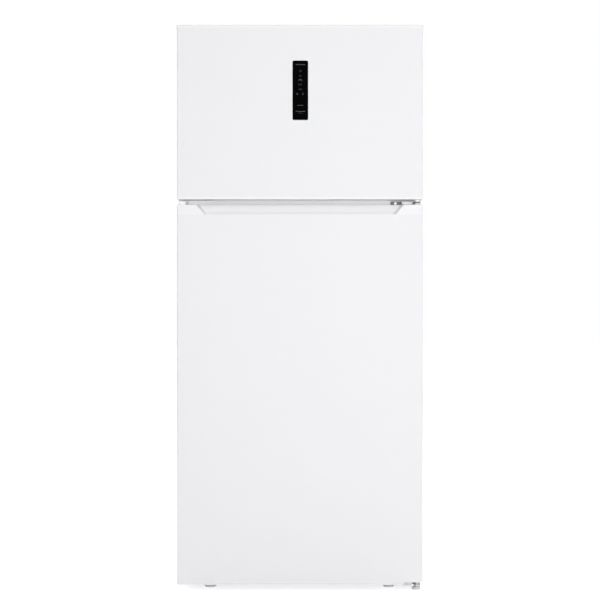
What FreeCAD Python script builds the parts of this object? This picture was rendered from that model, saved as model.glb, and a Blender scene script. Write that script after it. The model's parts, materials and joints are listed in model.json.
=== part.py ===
"""Top freezer refrigerator: a no-frost cabinet with a freezer door above a taller fridge door.

Millimetres, +Z up, +X to the right seen from the front, front towards -Y.
The origin is on the floor, under the centre of the whole object.
"""
import math
import os

import FreeCAD
import Part
from FreeCAD import Vector

# ---- driving dimensions ------------------------------------------------------------------------
door_width = 745.0
overall_height = 1720.0
overall_depth = 700.0

door_thickness = 60.0          # steel front to the plane that carries the seal
seal_gap = 12.0                # door liner to cabinet front, filled by the seal
freezer_door_height = 528.0
door_gap = 16.0                # finger gap between the two doors
door_bottom_z = 24.0
door_rise = 22.0               # the door's top stands this far above the cabinet top

cabinet_bottom_z = 30.0
wall_steel = 1.0
liner_wall = 1.5
plastic_wall = 2.5
flange_width = 32.0            # steel return around the cabinet mouth
rail_gauge = 2.0
freezer_side_wall = 60.0
freezer_back_wall = 60.0
freezer_top_wall = 60.0
fridge_side_wall = 46.0
fridge_back_wall = 52.0
mullion_height = 66.0
fridge_floor_z = 96.0

machine_room_depth = 190.0
machine_room_top_z = 260.0
machine_room_insulation = 40.0
hump_bevel = 26.0
room_corner = 10.0             # rounding of the freezer's rear corners

condenser_reach = 30.0         # back panel to the rearmost point
clearance = 1.0                # general gap between pieces that move past each other
touch_gap = 0.3                # gap that keeps a resting face clear of its neighbour

# ---- places worked out from them ---------------------------------------------------------------
half = door_width / 2
panel_proud = 0.8
door_front = -overall_depth / 2 + panel_proud
door_back = door_front + door_thickness
cab_front = door_back + seal_gap
cab_back = overall_depth / 2 - condenser_reach
cab_top = overall_height - door_rise
freezer_door_bottom = overall_height - freezer_door_height
fridge_door_top = freezer_door_bottom - door_gap
gap_mid = (freezer_door_bottom + fridge_door_top) / 2
mullion_low = gap_mid - mullion_height / 2
mullion_high = gap_mid + mullion_height / 2

freezer_half = half - freezer_side_wall
freezer_ceiling = cab_top - freezer_top_wall
freezer_back = cab_back - freezer_back_wall
fridge_half = half - fridge_side_wall
fridge_back = cab_back - fridge_back_wall
machine_front = cab_back - machine_room_depth
hump_front = machine_front - machine_room_insulation
hump_top = machine_room_top_z + machine_room_insulation

# hinge line of both doors, at the right
pivot_inset = 15.5
pivot_back = 26.2
pivot_x = half - pivot_inset
pivot_y = door_front + pivot_back
pin_radius = 5.0
pin_fit = 0.05
pin_length = 16.0
hinge_plate = 4.0

# seals
seal_width = 14.0
seal_inset = 16.0

# door liners: a raised rim that enters the cabinet and carries the bins
rim_width = 32.0
rim_depth = 45.0
freezer_rim_half = freezer_half - 12.5
fridge_rim_half = fridge_half - 18.5
boss_reach = 6.0
boss_height = 14.0
boss_depth = 30.0

# door end caps
lip_thickness = 12.0
lip_overhang = 1.5
deck = 8.0
top_strip = 8.0                # plastic strip seen above the freezer door's steel
bottom_strip = 7.0
handle_cap_height = 30.0
grip_half = 269.0 / 745.0 * door_width
scoop_top_half = grip_half + 47.0
scoop_low_half = grip_half + 23.0
scoop_end_slant = 10.5         # the scoop's end walls lean this far inwards with depth
scoop_low_depth = 10.0
scoop_top_depth = 22.0
grip_ridge = 4.0
grip_backing = 10.0             # pocket to the door's back
grip_depth_y = door_thickness - scoop_top_depth - grip_ridge - grip_backing
grip_corner = min(7.0, 0.4 * grip_depth_y)
grip_depth_z = 22.0
base_strip = 4.0
hinge_notch_length = 57.0
hinge_notch_height = 7.5

# control window on the freezer door
panel_width = 45.0
panel_height = 178.0
panel_drop = 109.0             # door top to panel top
panel_thickness = 4.0
panel_corner = 4.0

# feet and rollers
foot_spread = 276.0 / 745.0 * door_width
foot_back = 28.0               # behind the cabinet front
foot_radius = 16.5
foot_height = 8.0
thread_radius = 4.0
thread_fit = 0.2
base_low_z = 12.0
rail_depth = 56.0
roller_radius = 17.5
roller_width = 18.0
roller_inset = 62.0
roller_from_back = 40.0
axle_radius = 4.0

# inside the fridge
chiller_room = 157.5            # crispers' cover to the lowest shelf
support_step = 10.0             # the shelves stand on a grid of this step
shelf_front = cab_front + 116.0
glass = 4.0
trim_height = 14.0
trim_depth = 14.0
crisper_front = cab_front + 118.0
crisper_low = fridge_floor_z + liner_wall + 2.0
crisper_height = 168.0
drawer_side_gap = 18.0         # a drawer passes inside the open door's seal
cover_z = hump_top + liner_wall + 1.0
lowest_shelf = cover_z + chiller_room
shelf_rise = support_step * ((mullion_low - lowest_shelf) // (3 * support_step))
shelf_levels = (lowest_shelf, lowest_shelf + shelf_rise, lowest_shelf + 2 * shelf_rise)
chiller_height = 96.0

# inside the freezer
evaporator_room = 108.0        # evaporator cover to the freezer's back wall
cover_thickness = 8.0
freezer_shelf_z = (mullion_high + freezer_ceiling) / 2
fan_radius = 52.0
ice_frame_height = 62.0
ice_frame_width = 236.0

# ---- small tools -------------------------------------------------------------------------------


def block(x0, x1, y0, y1, z0, z1):
    return Part.makeBox(x1 - x0, y1 - y0, z1 - z0, Vector(x0, y0, z0))


def wide(half_width, y0, y1, z0, z1):
    return block(-half_width, half_width, y0, y1, z0, z1)


def rod(radius, start, end):
    start, end = Vector(*start), Vector(*end)
    return Part.makeCylinder(radius, (end - start).Length, start, end - start)


def prism(points, direction):
    wire = Part.makePolygon([Vector(*p) for p in points + [points[0]]])
    return Part.Face(wire).extrude(Vector(*direction))


def join(shapes):
    shapes = list(shapes)
    whole = shapes[0]
    if len(shapes) > 1:
        whole = whole.fuse(shapes[1:])
    return whole.removeSplitter()


def cut(shape, *tools):
    for tool in tools:
        shape = shape.cut(tool)
    return shape


def along(edge, axis):
    ends = [v.Point for v in edge.Vertexes]
    if len(ends) != 2:
        return False
    run = ends[1] - ends[0]
    return abs(abs(run.dot(Vector(*axis))) - run.Length) < 1e-6 and run.Length > 1e-6


def round_edges(shape, radius, axis, where=lambda middle: True):
    """Rounds the straight edges along an axis whose middle point passes the test."""
    picked = []
    for edge in shape.Edges:
        if along(edge, axis) and where(edge.CenterOfMass):
            picked.append(edge)
    return shape.makeFillet(radius, picked) if picked else shape


def pillow(x0, x1, y0, y1, z0, z1, radius):
    """A box with its four vertical edges rounded."""
    radius = min(radius, 0.45 * min(x1 - x0, y1 - y0))
    return round_edges(block(x0, x1, y0, y1, z0, z1), radius, (0, 0, 1))


def frame_ring(half_out, half_in, y0, y1, low_out, low_in, high_in, high_out):
    outer = wide(half_out, y0, y1, low_out, high_out)
    return cut(outer, wide(half_in, y0 - 1, y1 + 1, low_in, high_in))


def open_tray(x0, x1, y0, y1, z0, z1, wall, floor, radius):
    """A tub with an open top."""
    outer = pillow(x0, x1, y0, y1, z0, z1, radius)
    low = [e for e in outer.Edges if abs(e.BoundBox.ZMax - z0) < 1e-6]
    outer = outer.makeFillet(min(4.0, radius / 2), low)
    hollow = pillow(x0 + wall, x1 - wall, y0 + wall, y1 - wall, z0 + floor, z1 + 1, max(1.0, radius - wall))
    return cut(outer, hollow)


def pipe(points, radius, bend):
    """A round tube body along straight runs joined by arcs of one bend radius."""
    points = [Vector(*p) for p in points]
    edges = []
    start = points[0]
    for before, corner, after in zip(points, points[1:], points[2:]):
        into = (corner - before).normalize()
        out = (after - corner).normalize()
        turn = into.getAngle(out)
        back = bend * math.tan(turn / 2)
        first = corner - into * back
        last = corner + out * back
        centre_way = (out - into).normalize()
        reach = (bend ** 2 + back ** 2) ** 0.5
        middle = corner + centre_way * (reach - bend)
        edges.append(Part.LineSegment(start, first).toShape())
        edges.append(Part.Arc(first, middle, last).toShape())
        start = last
    edges.append(Part.LineSegment(start, points[-1]).toShape())
    path = Part.Wire(edges)
    way = (points[1] - points[0]).normalize()
    section = Part.Wire([Part.Circle(points[0], way, radius).toShape()])
    return path.makePipeShell([section], True, False)


# ---- cabinet -----------------------------------------------------------------------------------


shell_corner = 6.0


def inside_shell(y0, y1, z0):
    """A block that fills the steel wrap from side to side and up to its rounded top corners."""
    fill = wide(half - wall_steel, y0, y1, z0, cab_top - wall_steel)
    return round_edges(fill, shell_corner - wall_steel, (0, 1, 0), lambda p: p.z > cab_top - 3)


def cabinet_shell():
    """Painted steel wrapped over both sides and the top, folded in around the mouth."""
    outer = wide(half, cab_front, cab_back, cabinet_bottom_z, cab_top)
    outer = round_edges(outer, shell_corner, (0, 1, 0), lambda p: p.z > cab_top - 1)
    hollow = inside_shell(cab_front - 1, cab_back + 1, cabinet_bottom_z - 1)
    fold = cut(
        outer,
        wide(half, cab_front + wall_steel, cab_back, cabinet_bottom_z - 1, cab_top + 1),
        wide(half - flange_width, cab_front - 1, cab_back, cabinet_bottom_z - 1, cab_top - flange_width),
    )
    shell = join([cut(outer, hollow), fold])
    return cut(shell, *[rod(screw_radius, (x, y, cab_top - 3), (x, y, cab_top + 1)) for x, y in top_hinge_holes()])


def back_panel():
    return inside_shell(cab_back - wall_steel, cab_back, machine_room_top_z + wall_steel)


def bottom_plate():
    """Stepped galvanised sheet: under the fridge, up and over the compressor's room."""
    inner = half - wall_steel
    sheet = join([
        wide(inner, cab_front + wall_steel, machine_front, cabinet_bottom_z, cabinet_bottom_z + wall_steel),
        wide(inner, machine_front - wall_steel, machine_front, cabinet_bottom_z, machine_room_top_z),
        wide(inner, machine_front - wall_steel, cab_back, machine_room_top_z, machine_room_top_z + wall_steel),
        wide(half - flange_width, cab_front, cab_front + wall_steel, cabinet_bottom_z, cabinet_bottom_z + 22.0),
        wide(half - flange_width, cab_front, cab_front + 2 * wall_steel, cabinet_bottom_z, cabinet_bottom_z + wall_steel),
    ])
    return sheet


def freezer_room(grow):
    """The freezer's inside, grown outwards by a distance; its rear corners are rounded."""
    room = wide(freezer_half + grow, cab_front - 1, freezer_back + grow, mullion_high - grow, freezer_ceiling + grow)
    return round_edges(room, room_corner + grow, (0, 0, 1), lambda p: p.y > cab_front)


def fridge_room(grow):
    """The fridge's inside, stepped over the compressor's room, grown outwards by a distance."""
    shift = grow * math.tan(math.radians(22.5))
    outline = [
        (cab_front - 1, fridge_floor_z - grow),
        (hump_front + grow, fridge_floor_z - grow),
        (hump_front + grow, hump_top - hump_bevel - shift),
        (hump_front + hump_bevel + shift, hump_top - grow),
        (fridge_back + grow, hump_top - grow),
        (fridge_back + grow, mullion_low + grow),
        (cab_front - 1, mullion_low + grow),
    ]
    width = fridge_half + grow
    return prism([(-width, y, z) for y, z in outline], (2 * width, 0, 0))


def ledge(side, inner_half, z, y0, y1):
    """A shelf rib moulded on a side wall."""
    reach, thick = 9.0, 7.0
    x0, x1 = sorted((side * (inner_half - reach), side * (inner_half + 0.5)))
    rib = block(x0, x1, y0, y1, z - thick, z)
    tip = side * (inner_half - reach)
    return round_edges(rib, 3.0, (0, 0, 1), lambda p: abs(p.x - tip) < 1e-3)


def freezer_liner():
    room = freezer_room(0)
    shell = cut(freezer_room(liner_wall), room, wide(half, cab_front - 5, cab_front, 0, overall_height))
    lip = cut(
        wide(half - flange_width, cab_front, cab_front + liner_wall, mullion_high, cab_top - flange_width),
        room,
    )
    ribs = [
        ledge(side, freezer_half, freezer_shelf_z, shelf_front + 20, freezer_back - evaporator_room - 20)
        for side in (-1, 1)
    ]
    return join([shell, lip] + ribs)


def fridge_liner():
    room = fridge_room(0)
    shell = cut(fridge_room(liner_wall), room, wide(half, cab_front - 5, cab_front, 0, overall_height))
    lip = cut(
        wide(half - flange_width, cab_front, cab_front + liner_wall, cabinet_bottom_z + 22.0, mullion_low),
        room,
    )
    ribs = [
        ledge(side, fridge_half, z, shelf_front + 20, fridge_back - 30)
        for z in shelf_levels
        for side in (-1, 1)
    ]
    return join([shell, lip] + ribs)


def mullion_rail():
    """Pressed steel strip across the front between the compartments."""
    rail = wide(half - flange_width, cab_front, cab_front + rail_gauge, mullion_low + liner_wall, mullion_high - liner_wall)
    holes = [rod(screw_radius, (x, cab_front - 1, gap_mid), (x, cab_front + 3, gap_mid)) for x in middle_hinge_screws()]
    return cut(rail, *holes)


def cabinet_foam():
    fill = inside_shell(cab_front + wall_steel, cab_back - wall_steel, cabinet_bottom_z + wall_steel)
    engine_room = wide(half, machine_front - wall_steel, cab_back + 1, 0, machine_room_top_z + wall_steel)
    lips = [
        wide(half - flange_width, cab_front, cab_front + liner_wall, mullion_high, cab_top - flange_width),
        wide(half - flange_width, cab_front, cab_front + liner_wall, cabinet_bottom_z + 22.0, mullion_low),
        wide(half - flange_width, cab_front, cab_front + rail_gauge, mullion_low, mullion_high),
        wide(half - flange_width, cab_front, cab_front + 2 * wall_steel, 0, cabinet_bottom_z + wall_steel),
    ]
    return cut(fill, engine_room, freezer_room(liner_wall), fridge_room(liner_wall), *lips)


def foot_places():
    y = cab_front + foot_back
    return {"foot_left": (-foot_spread, y), "foot_right": (foot_spread, y)}


def roller_places():
    y = cab_back - roller_from_back
    x = half - roller_inset
    return {"roller_left": (-x, y), "roller_right": (x, y)}


def base_frame():
    """Front channel with the feet's threads, side runners and the compressor tray."""
    gauge = 2.0
    top = cabinet_bottom_z - touch_gap
    y0 = cab_front + 2.0
    y1 = y0 + rail_depth
    inner = half - wall_steel - touch_gap
    pieces = [
        wide(inner, y0, y1, base_low_z, base_low_z + gauge),
        wide(inner, y0, y0 + gauge, base_low_z, top),
        wide(inner, y1 - gauge, y1, base_low_z, top),
    ]
    runner = 26.0
    for side in (-1, 1):
        x0, x1 = sorted((side * inner, side * (inner - runner)))
        pieces.append(block(x0, x1, y1 - gauge, cab_back - 6, tray_top - gauge, tray_top))
        wall = sorted((side * inner, side * (inner - gauge)))
        pieces.append(block(wall[0], wall[1], y1 - gauge, cab_back - 6, tray_top - gauge, top))
    rear = cab_back - 6
    tray_z = tray_top - gauge
    pieces.append(wide(inner, machine_front + 4, rear, tray_z, tray_top))
    pieces.append(wide(inner, rear - gauge, rear, tray_z, tray_top + 14))
    wells = []
    ear = 3.0
    for x, y in roller_places().values():
        room = roller_width / 2 + 1.5
        reach = roller_radius + 3
        wells.append(block(x - room, x + room, y - reach, y + reach, tray_z - 1, tray_z + gauge + 1))
        for side in (-1, 1):
            x0, x1 = sorted((x + side * room, x + side * (room + ear)))
            pieces.append(block(x0, x1, y - 12, y + 12, roller_radius - 6, tray_z + 14))
    frame = join(pieces)
    frame = cut(frame, *wells)
    axles = []
    for x, y in roller_places().values():
        span = roller_width / 2 + 1.5 + ear
        axles.append(rod(axle_radius, (x - span, y, roller_radius), (x + span, y, roller_radius)))
    frame = join([frame] + axles)
    holes = [
        rod(thread_radius + thread_fit, (x, y, base_low_z - 1), (x, y, base_low_z + gauge + 1))
        for x, y in foot_places().values()
    ]
    studs = [rod(grommet_hole, (x, y, tray_z - 1), (x, y, tray_z + gauge + 1)) for x, y in compressor_legs()]
    return cut(frame, *holes, *studs)


def levelling_foot(x, y, radius, top):
    """Screwed foot: a ribbed disc on a threaded stud."""
    disc = rod(radius, (x, y, 0), (x, y, foot_height))
    rim = [e for e in disc.Edges if e.BoundBox.ZMax - e.BoundBox.ZMin < 1e-6]
    disc = disc.makeFillet(1.5, rim)
    notches = []
    for k in range(12):
        angle = FreeCAD.Rotation(Vector(0, 0, 1), 30 * k)
        at = Vector(x, y, 0) + angle.multVec(Vector(radius + 0.6, 0, 0))
        notches.append(rod(1.6, (at.x, at.y, -1), (at.x, at.y, foot_height + 1)))
    disc = cut(disc, *notches)
    return join([disc, rod(thread_radius, (x, y, foot_height - 1), (x, y, top))])


def roller(x, y):
    wheel = rod(roller_radius, (x - roller_width / 2, y, roller_radius), (x + roller_width / 2, y, roller_radius))
    rims = [e for e in wheel.Edges if e.BoundBox.XMax - e.BoundBox.XMin < 1e-6]
    wheel = wheel.makeFillet(1.5, rims)
    far = roller_width
    grooves = []
    for side in (-1, 1):
        ring = rod(roller_radius - 4, (x + side * (roller_width / 2 - 2), y, roller_radius), (x + side * far, y, roller_radius))
        hub = rod(axle_radius + 3, (x, y, roller_radius), (x + side * far, y, roller_radius))
        grooves.append(cut(ring, hub))
    bore = rod(axle_radius + pin_fit, (x - far, y, roller_radius), (x + far, y, roller_radius))
    return cut(wheel, bore, *grooves)


# ---- cooling machine ---------------------------------------------------------------------------

grommet_hole = 5.0
bolt_hole = 3.5
compressor_x = 96.0
compressor_y = (machine_front + cab_back) / 2
compressor_radius = 68.0
leg_span_x = 168.0
leg_span_y = 100.0
grommet_height = 14.0
tray_top = base_low_z + 8.0    # upper face of the compressor's tray
pot_dome = 30.0
pot_straight = 84.0
plate_gap = 6.0                # mounting plate to the pot


def compressor_legs():
    return [
        (compressor_x + sx * leg_span_x / 2, compressor_y + sy * leg_span_y / 2)
        for sx in (-1, 1)
        for sy in (-1, 1)
    ]


def compressor():
    """Welded steel pot on a four-leg plate, with three pipe stubs."""
    x, y = compressor_x, compressor_y
    leg_z = tray_top + grommet_height
    low, dome, straight = pot_low(), pot_dome, pot_straight
    profile_points = [
        Vector(0, 0, low),
        Vector(compressor_radius - 16, 0, low + 5),
        Vector(compressor_radius, 0, low + dome),
        Vector(compressor_radius, 0, low + dome + straight),
        Vector(compressor_radius - 22, 0, low + 2 * dome + straight - 6),
        Vector(0, 0, low + 2 * dome + straight),
    ]
    bottom = Part.BSplineCurve()
    bottom.interpolate(profile_points[:3], InitialTangent=Vector(1, 0, 0), FinalTangent=Vector(0, 0, 1))
    top = Part.BSplineCurve()
    top.interpolate(profile_points[3:], InitialTangent=Vector(0, 0, 1), FinalTangent=Vector(-1, 0, 0))
    edges = [
        bottom.toShape(),
        Part.LineSegment(profile_points[2], profile_points[3]).toShape(),
        top.toShape(),
        Part.LineSegment(profile_points[5], profile_points[0]).toShape(),
    ]
    pot = Part.Face(Part.Wire(edges)).revolve(Vector(0, 0, 0), Vector(0, 0, 1), 360)
    pot.translate(Vector(x, y, 0))
    seam_z = low + dome + straight * 0.55
    seam = rod(compressor_radius + 3, (x, y, seam_z), (x, y, seam_z + 5))
    plate = pillow(
        x - leg_span_x / 2 - 12, x + leg_span_x / 2 + 12,
        y - leg_span_y / 2 - 12, y + leg_span_y / 2 + 12, leg_z, leg_z + 3, 12,
    )
    plate = join([plate, rod(compressor_radius - 24, (x, y, leg_z), (x, y, low + 6))])
    holes = [rod(bolt_hole, (a, b, leg_z - 1), (a, b, leg_z + 4)) for a, b in compressor_legs()]
    stubs = [rod(4, (x - compressor_radius + 8, y + dy, z), (x - compressor_radius - 16, y + dy, z)) for dy, z in stub_places()]
    return join([pot, seam, cut(plate, *holes)] + stubs)


def pot_low():
    return tray_top + grommet_height + plate_gap


def stub_places():
    """Sideways place and height of the discharge, process and suction stubs."""
    low = pot_low()
    return [(-24.0, low + 42.0), (0.0, low + 86.0), (24.0, low + 42.0)]


def compressor_grommets():
    rubbers = []
    for x, y in compressor_legs():
        body = rod(11, (x, y, tray_top), (x, y, tray_top + grommet_height))
        neck = rod(grommet_hole - touch_gap, (x, y, tray_top - 4), (x, y, tray_top))
        rubbers.append(cut(join([body, neck]), rod(2.6, (x, y, 0), (x, y, 60))))
    return Part.makeCompound(rubbers)


def terminal_cover():
    """Plastic box over the compressor's terminals, relay and overload switch."""
    x0 = compressor_x + compressor_radius + 4
    low = tray_top + grommet_height + 40
    case = pillow(x0, x0 + 30, compressor_y - 30, compressor_y + 30, low, low + 62, 6)
    return case


def drain_pan():
    """Shallow tray above the compressor, where defrost water evaporates."""
    low = pot_low() + 2 * pot_dome + pot_straight + 10
    high = low + 26
    return open_tray(compressor_x - 90, compressor_x + 90, machine_front + 12, cab_back - 14, low, high, 2, 2, 14)


def refrigerant_pipes():
    """Copper lines in the compressor's room, with the filter drier."""
    tip = compressor_x - compressor_radius - 16
    (dy_a, za), (dy_b, zb), (dy_c, zc) = stub_places()
    drier_x = -half + 120
    back_y = cab_back - 30
    radius = 3.2
    discharge = pipe(
        [
            (tip, compressor_y + dy_a, za),
            (tip - 70, compressor_y + dy_a, za),
            (tip - 70, compressor_y + dy_a, za + 90),
            (drier_x + 70, compressor_y + dy_a, za + 90),
            (drier_x + 70, back_y, za + 90),
            (drier_x + 70, back_y, machine_room_top_z - 10),
        ],
        radius, 14,
    )
    suction = pipe(
        [
            (tip, compressor_y + dy_c, zc),
            (tip - 40, compressor_y + dy_c, zc),
            (tip - 40, compressor_y + dy_c, machine_room_top_z - 2),
        ],
        radius + 0.8, 14,
    )
    process = rod(radius, (tip, compressor_y + dy_b, zb), (tip - 30, compressor_y + dy_b, zb))
    low, high = tray_top + 60, tray_top + 170
    drier = rod(9.5, (drier_x, compressor_y, low), (drier_x, compressor_y, high))
    ends = [e for e in drier.Edges if e.BoundBox.ZMax - e.BoundBox.ZMin < 1e-6]
    drier = drier.makeFillet(6, ends)
    inlet = pipe(
        [
            (drier_x, compressor_y, high - 2),
            (drier_x, compressor_y, high + 34),
            (drier_x, machine_front + 4, high + 34),
        ],
        radius - 1, 10,
    )
    outlet = pipe(
        [
            (drier_x, compressor_y, low + 2),
            (drier_x, compressor_y, low - 24),
            (drier_x + 44, compressor_y, low - 24),
            (drier_x + 44, compressor_y, machine_room_top_z - 2),
        ],
        radius - 1.6, 10,
    )
    return Part.makeCompound([discharge, suction, process, join([drier, inlet, outlet])])


def condenser():
    """Serpentine tube with wires welded across it, on four stand-off brackets."""
    tube_radius, wire_radius = 2.5, 0.9
    reach = half - 62
    low, high = machine_room_top_z + 50, cab_top - 130
    plane = overall_depth / 2 - 2 * wire_radius - tube_radius - 1.0
    rows = 14
    step = (high - low) / (rows - 1)
    points = [(-reach, plane, low)]
    for k in range(rows):
        z = low + k * step
        side = 1 if k % 2 == 0 else -1
        points.append((side * reach, plane, z))
        if k < rows - 1:
            points.append((side * reach, plane, z + step))
    tube = pipe(points, tube_radius, min(step / 2 - 1.0, 30.0))
    wire_y = plane + tube_radius + wire_radius
    count = 30
    wires = []
    for k in range(count):
        x = -reach + 44 + k * (2 * reach - 88) / (count - 1)
        wires.append(rod(wire_radius, (x, wire_y, low - 14), (x, wire_y, high + 14)))
    brackets = []
    for side in (-1, 1):
        for z in (low + 1.5 * step, high - 1.5 * step):
            x = side * (reach - 14)
            post = block(x - 8, x + 8, cab_back + touch_gap, plane - tube_radius - touch_gap, z - 12, z + 12)
            foot = block(x - 8, x + 8, cab_back + touch_gap, cab_back + 3, z - 26, z + 26)
            brackets.append(join([post, foot]))
    spacer = block(-10, 10, cab_back + touch_gap, overall_depth / 2, high + 40, high + 70)
    spacers = []
    for side in (-1, 1):
        one = spacer.copy()
        one.translate(Vector(side * (reach - 40), 0, 0))
        spacers.append(round_edges(one, 5, (1, 0, 0), lambda p: p.y > overall_depth / 2 - 1))
    return Part.makeCompound([tube] + wires + brackets + spacers)


def power_cord_gland():
    """Strain relief collar in the tray's rear edge, where the mains lead would enter."""
    x = -compressor_x - 60
    z = tray_top + 24
    y = cab_back - 6
    plate = pillow(x - 16, x + 16, y - 4, y - 2.3, z - 10, z + 14, 0.7)
    collar = rod(8, (x, y - 2.3, z + 2), (x, y + 12, z + 2))
    return cut(join([plate, collar]), rod(4.2, (x, y - 10, z + 2), (x, y + 20, z + 2)))


# ---- hinges ------------------------------------------------------------------------------------

screw_radius = 2.5
head_radius = 5.0
head_height = 3.0
stay_front = cab_front - 3.3   # the lower hinge's upright against the cabinet front
foot_gauge = 3.0               # middle hinge's foot
foot_flange = 6.5              # half its height
cover_half = 4.0               # half the height of the cap on the middle hinge's arm
bush_radius = 7.0
plug_height = 11.0
bottom_screw_z = cabinet_bottom_z + 10


def top_hinge_holes():
    y = cab_front + 24
    return [(pivot_x - 46, y), (pivot_x - 20, y), (pivot_x - 33, y + 26)]


def middle_hinge_screws():
    return [pivot_x - 63]


def arm_outline(x_near, x_far, y_far):
    """Plan of a hinge arm: a straight tongue to the pivot, and a wider foot at the cabinet."""
    return [
        (pivot_x - 10, pivot_y),
        (pivot_x - 10, cab_front - 16),
        (x_far, cab_front - 2),
        (x_far, y_far),
        (x_near, y_far),
        (x_near, cab_front - 12),
        (pivot_x + 2, cab_front - 24),
        (pivot_x + 10, pivot_y),
    ]


def arm_plate(x_near, x_far, y_far, z0, z1):
    points = [(x, y, z0) for x, y in arm_outline(x_near, x_far, y_far)]
    plate = prism(points, (0, 0, z1 - z0))
    return join([plate, rod(10, (pivot_x, pivot_y, z0), (pivot_x, pivot_y, z1))])


def top_hinge():
    """Steel arm on the cabinet's top; its pin drops into the freezer door."""
    z0 = cab_top + touch_gap
    plate = arm_plate(pivot_x + 1, pivot_x - 62, cab_front + 66, z0, z0 + hinge_plate - touch_gap)
    pin = rod(pin_radius, (pivot_x, pivot_y, cab_top - pin_length), (pivot_x, pivot_y, z0 + 1))
    holes = [rod(screw_radius, (x, y, z0 - 1), (x, y, z0 + 9)) for x, y in top_hinge_holes()]
    return cut(join([plate, pin]), *holes)


def top_hinge_cover():
    x0, x1 = pivot_x - 68, half - 6
    y0, y1 = cab_front + 1, cab_front + 74
    z0, z1 = cab_top + touch_gap, overall_height - 2
    outer = pillow(x0, x1, y0, y1, z0, z1, 8)
    top = [e for e in outer.Edges if abs(e.BoundBox.ZMin - z1) < 1e-6]
    outer = outer.makeFillet(3, top)
    inner = pillow(x0 + 2, x1 - 2, y0 + 2, y1 - 2, z0 - 1, z1 - 2, 6)
    mouth = block(pivot_x - 64, pivot_x + 3, y0 - 1, y0 + 4, z0 - 1, cab_top + hinge_plate + 1)
    return cut(outer, inner, mouth)


def middle_hinge():
    """Bracket in the gap: one pin up into the freezer door, one down into the fridge door."""
    z0, z1 = gap_mid - hinge_plate / 2, gap_mid + hinge_plate / 2
    plate = arm_plate(pivot_x - 4, pivot_x - 45, cab_front - touch_gap, z0, z1)
    foot = block(
        pivot_x - 78, pivot_x - 14, cab_front - foot_gauge, cab_front - touch_gap,
        gap_mid - foot_flange, gap_mid + foot_flange,
    )
    foot = round_edges(foot, 2, (0, 1, 0))
    up = rod(pin_radius, (pivot_x, pivot_y, z0), (pivot_x, pivot_y, freezer_door_bottom + pin_length))
    down = rod(pin_radius, (pivot_x, pivot_y, fridge_door_top - pin_length), (pivot_x, pivot_y, z1))
    holes = [rod(screw_radius, (x, cab_front - 6, gap_mid), (x, cab_front + 1, gap_mid)) for x in middle_hinge_screws()]
    bracket = join([plate, foot, up, down])
    return cut(bracket, *holes)


def middle_hinge_cover():
    """Moulded cap clipped over the root of the bracket's arm, slotted for it from behind."""
    front = cab_front - 20
    back = cab_front - foot_gauge - touch_gap
    cap = block(pivot_x - 44, pivot_x - 11, front, back, gap_mid - cover_half, gap_mid + cover_half)
    cap = round_edges(cap, 1.5, (0, 0, 1), lambda p: p.y < front + 1)
    low = gap_mid - hinge_plate / 2 - touch_gap
    side = pivot_x - 10 - touch_gap
    slot = [
        (side, pivot_y), (side, cab_front - 16 - touch_gap), (pivot_x - 45, cab_front - 3),
        (pivot_x - 45, cab_front), (pivot_x, cab_front), (pivot_x, pivot_y),
    ]
    return cut(cap, prism([(x, y, low) for x, y in slot], (0, 0, hinge_plate + 2 * touch_gap)))


def bottom_hinge():
    """Plate bolted under the cabinet front, with the door's lower pin and a threaded foot hole."""
    z1 = door_bottom_z - 2
    z0 = z1 - hinge_plate
    arm = arm_plate(pivot_x + 9, pivot_x - 62, cab_front + 1.5, z0, z1)
    y_bend = pivot_y + 26
    shoulder = block(pivot_x - 42, pivot_x + 9, y_bend, cab_front, z0, z1)
    downturn = block(pivot_x - 42, pivot_x - 14, y_bend, y_bend + 3, z0 - 6, z1)
    stay = block(pivot_x - 62, pivot_x + 9, stay_front, cab_front - touch_gap, z0, cabinet_bottom_z + 18)
    pin = rod(pin_radius, (pivot_x, pivot_y, z0), (pivot_x, pivot_y, door_bottom_z + hinge_notch_height + pin_length))
    x, y = hinge_foot_place()
    pad = rod(12, (x, y, z0), (x, y, z1))
    hole = rod(thread_radius + thread_fit, (x, y, z0 - 1), (x, y, z1 + 1))
    screw_z = bottom_screw_z
    bores = [rod(screw_radius, (a, stay_front - 1, screw_z), (a, cab_front + 1, screw_z)) for a in bottom_hinge_screws()]
    return cut(join([arm, shoulder, downturn, stay, pin, pad]), hole, *bores)


def bottom_hinge_screws():
    return [pivot_x - 52, pivot_x - 26]


def hinge_foot_place():
    return pivot_x, cab_front - 15.8


def screw_z(x, y, z):
    head = rod(head_radius, (x, y, z), (x, y, z + head_height))
    rim = [e for e in head.Edges if abs(e.BoundBox.ZMin - z - head_height) < 1e-6]
    head = head.makeFillet(1.2, rim)
    cross = [
        block(x - 3, x + 3, y - 0.6, y + 0.6, z + 1.4, z + head_height + 1),
        block(x - 0.6, x + 0.6, y - 3, y + 3, z + 1.4, z + head_height + 1),
    ]
    shank = rod(screw_radius - 0.2, (x, y, z - 9), (x, y, z))
    return cut(join([head, shank]), *cross)


def screw_front(x, y, z, shank=7):
    """A screw driven towards the back, its head facing the front."""
    one = screw_z(0, 0, 0)
    one.rotate(Vector(0, 0, 0), Vector(1, 0, 0), 90)
    one.translate(Vector(x, y, z))
    return cut(one, block(x - 9, x + 9, y + shank, y + 20, z - 9, z + 9))


def hinge_screws():
    """Cross-head screws of the three hinges."""
    top = cab_top + hinge_plate
    group = [screw_z(x, y, top) for x, y in top_hinge_holes()]
    group = [cut(one, block(0, half, cab_front, cab_back, cab_top - 30, cab_top - wall_steel)) for one in group]
    group += [screw_front(x, cab_front - foot_gauge, gap_mid, 5.0) for x in middle_hinge_screws()]
    group += [screw_front(x, stay_front, bottom_screw_z, cab_front - stay_front - 0.1) for x in bottom_hinge_screws()]
    return Part.makeCompound(group)


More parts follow.
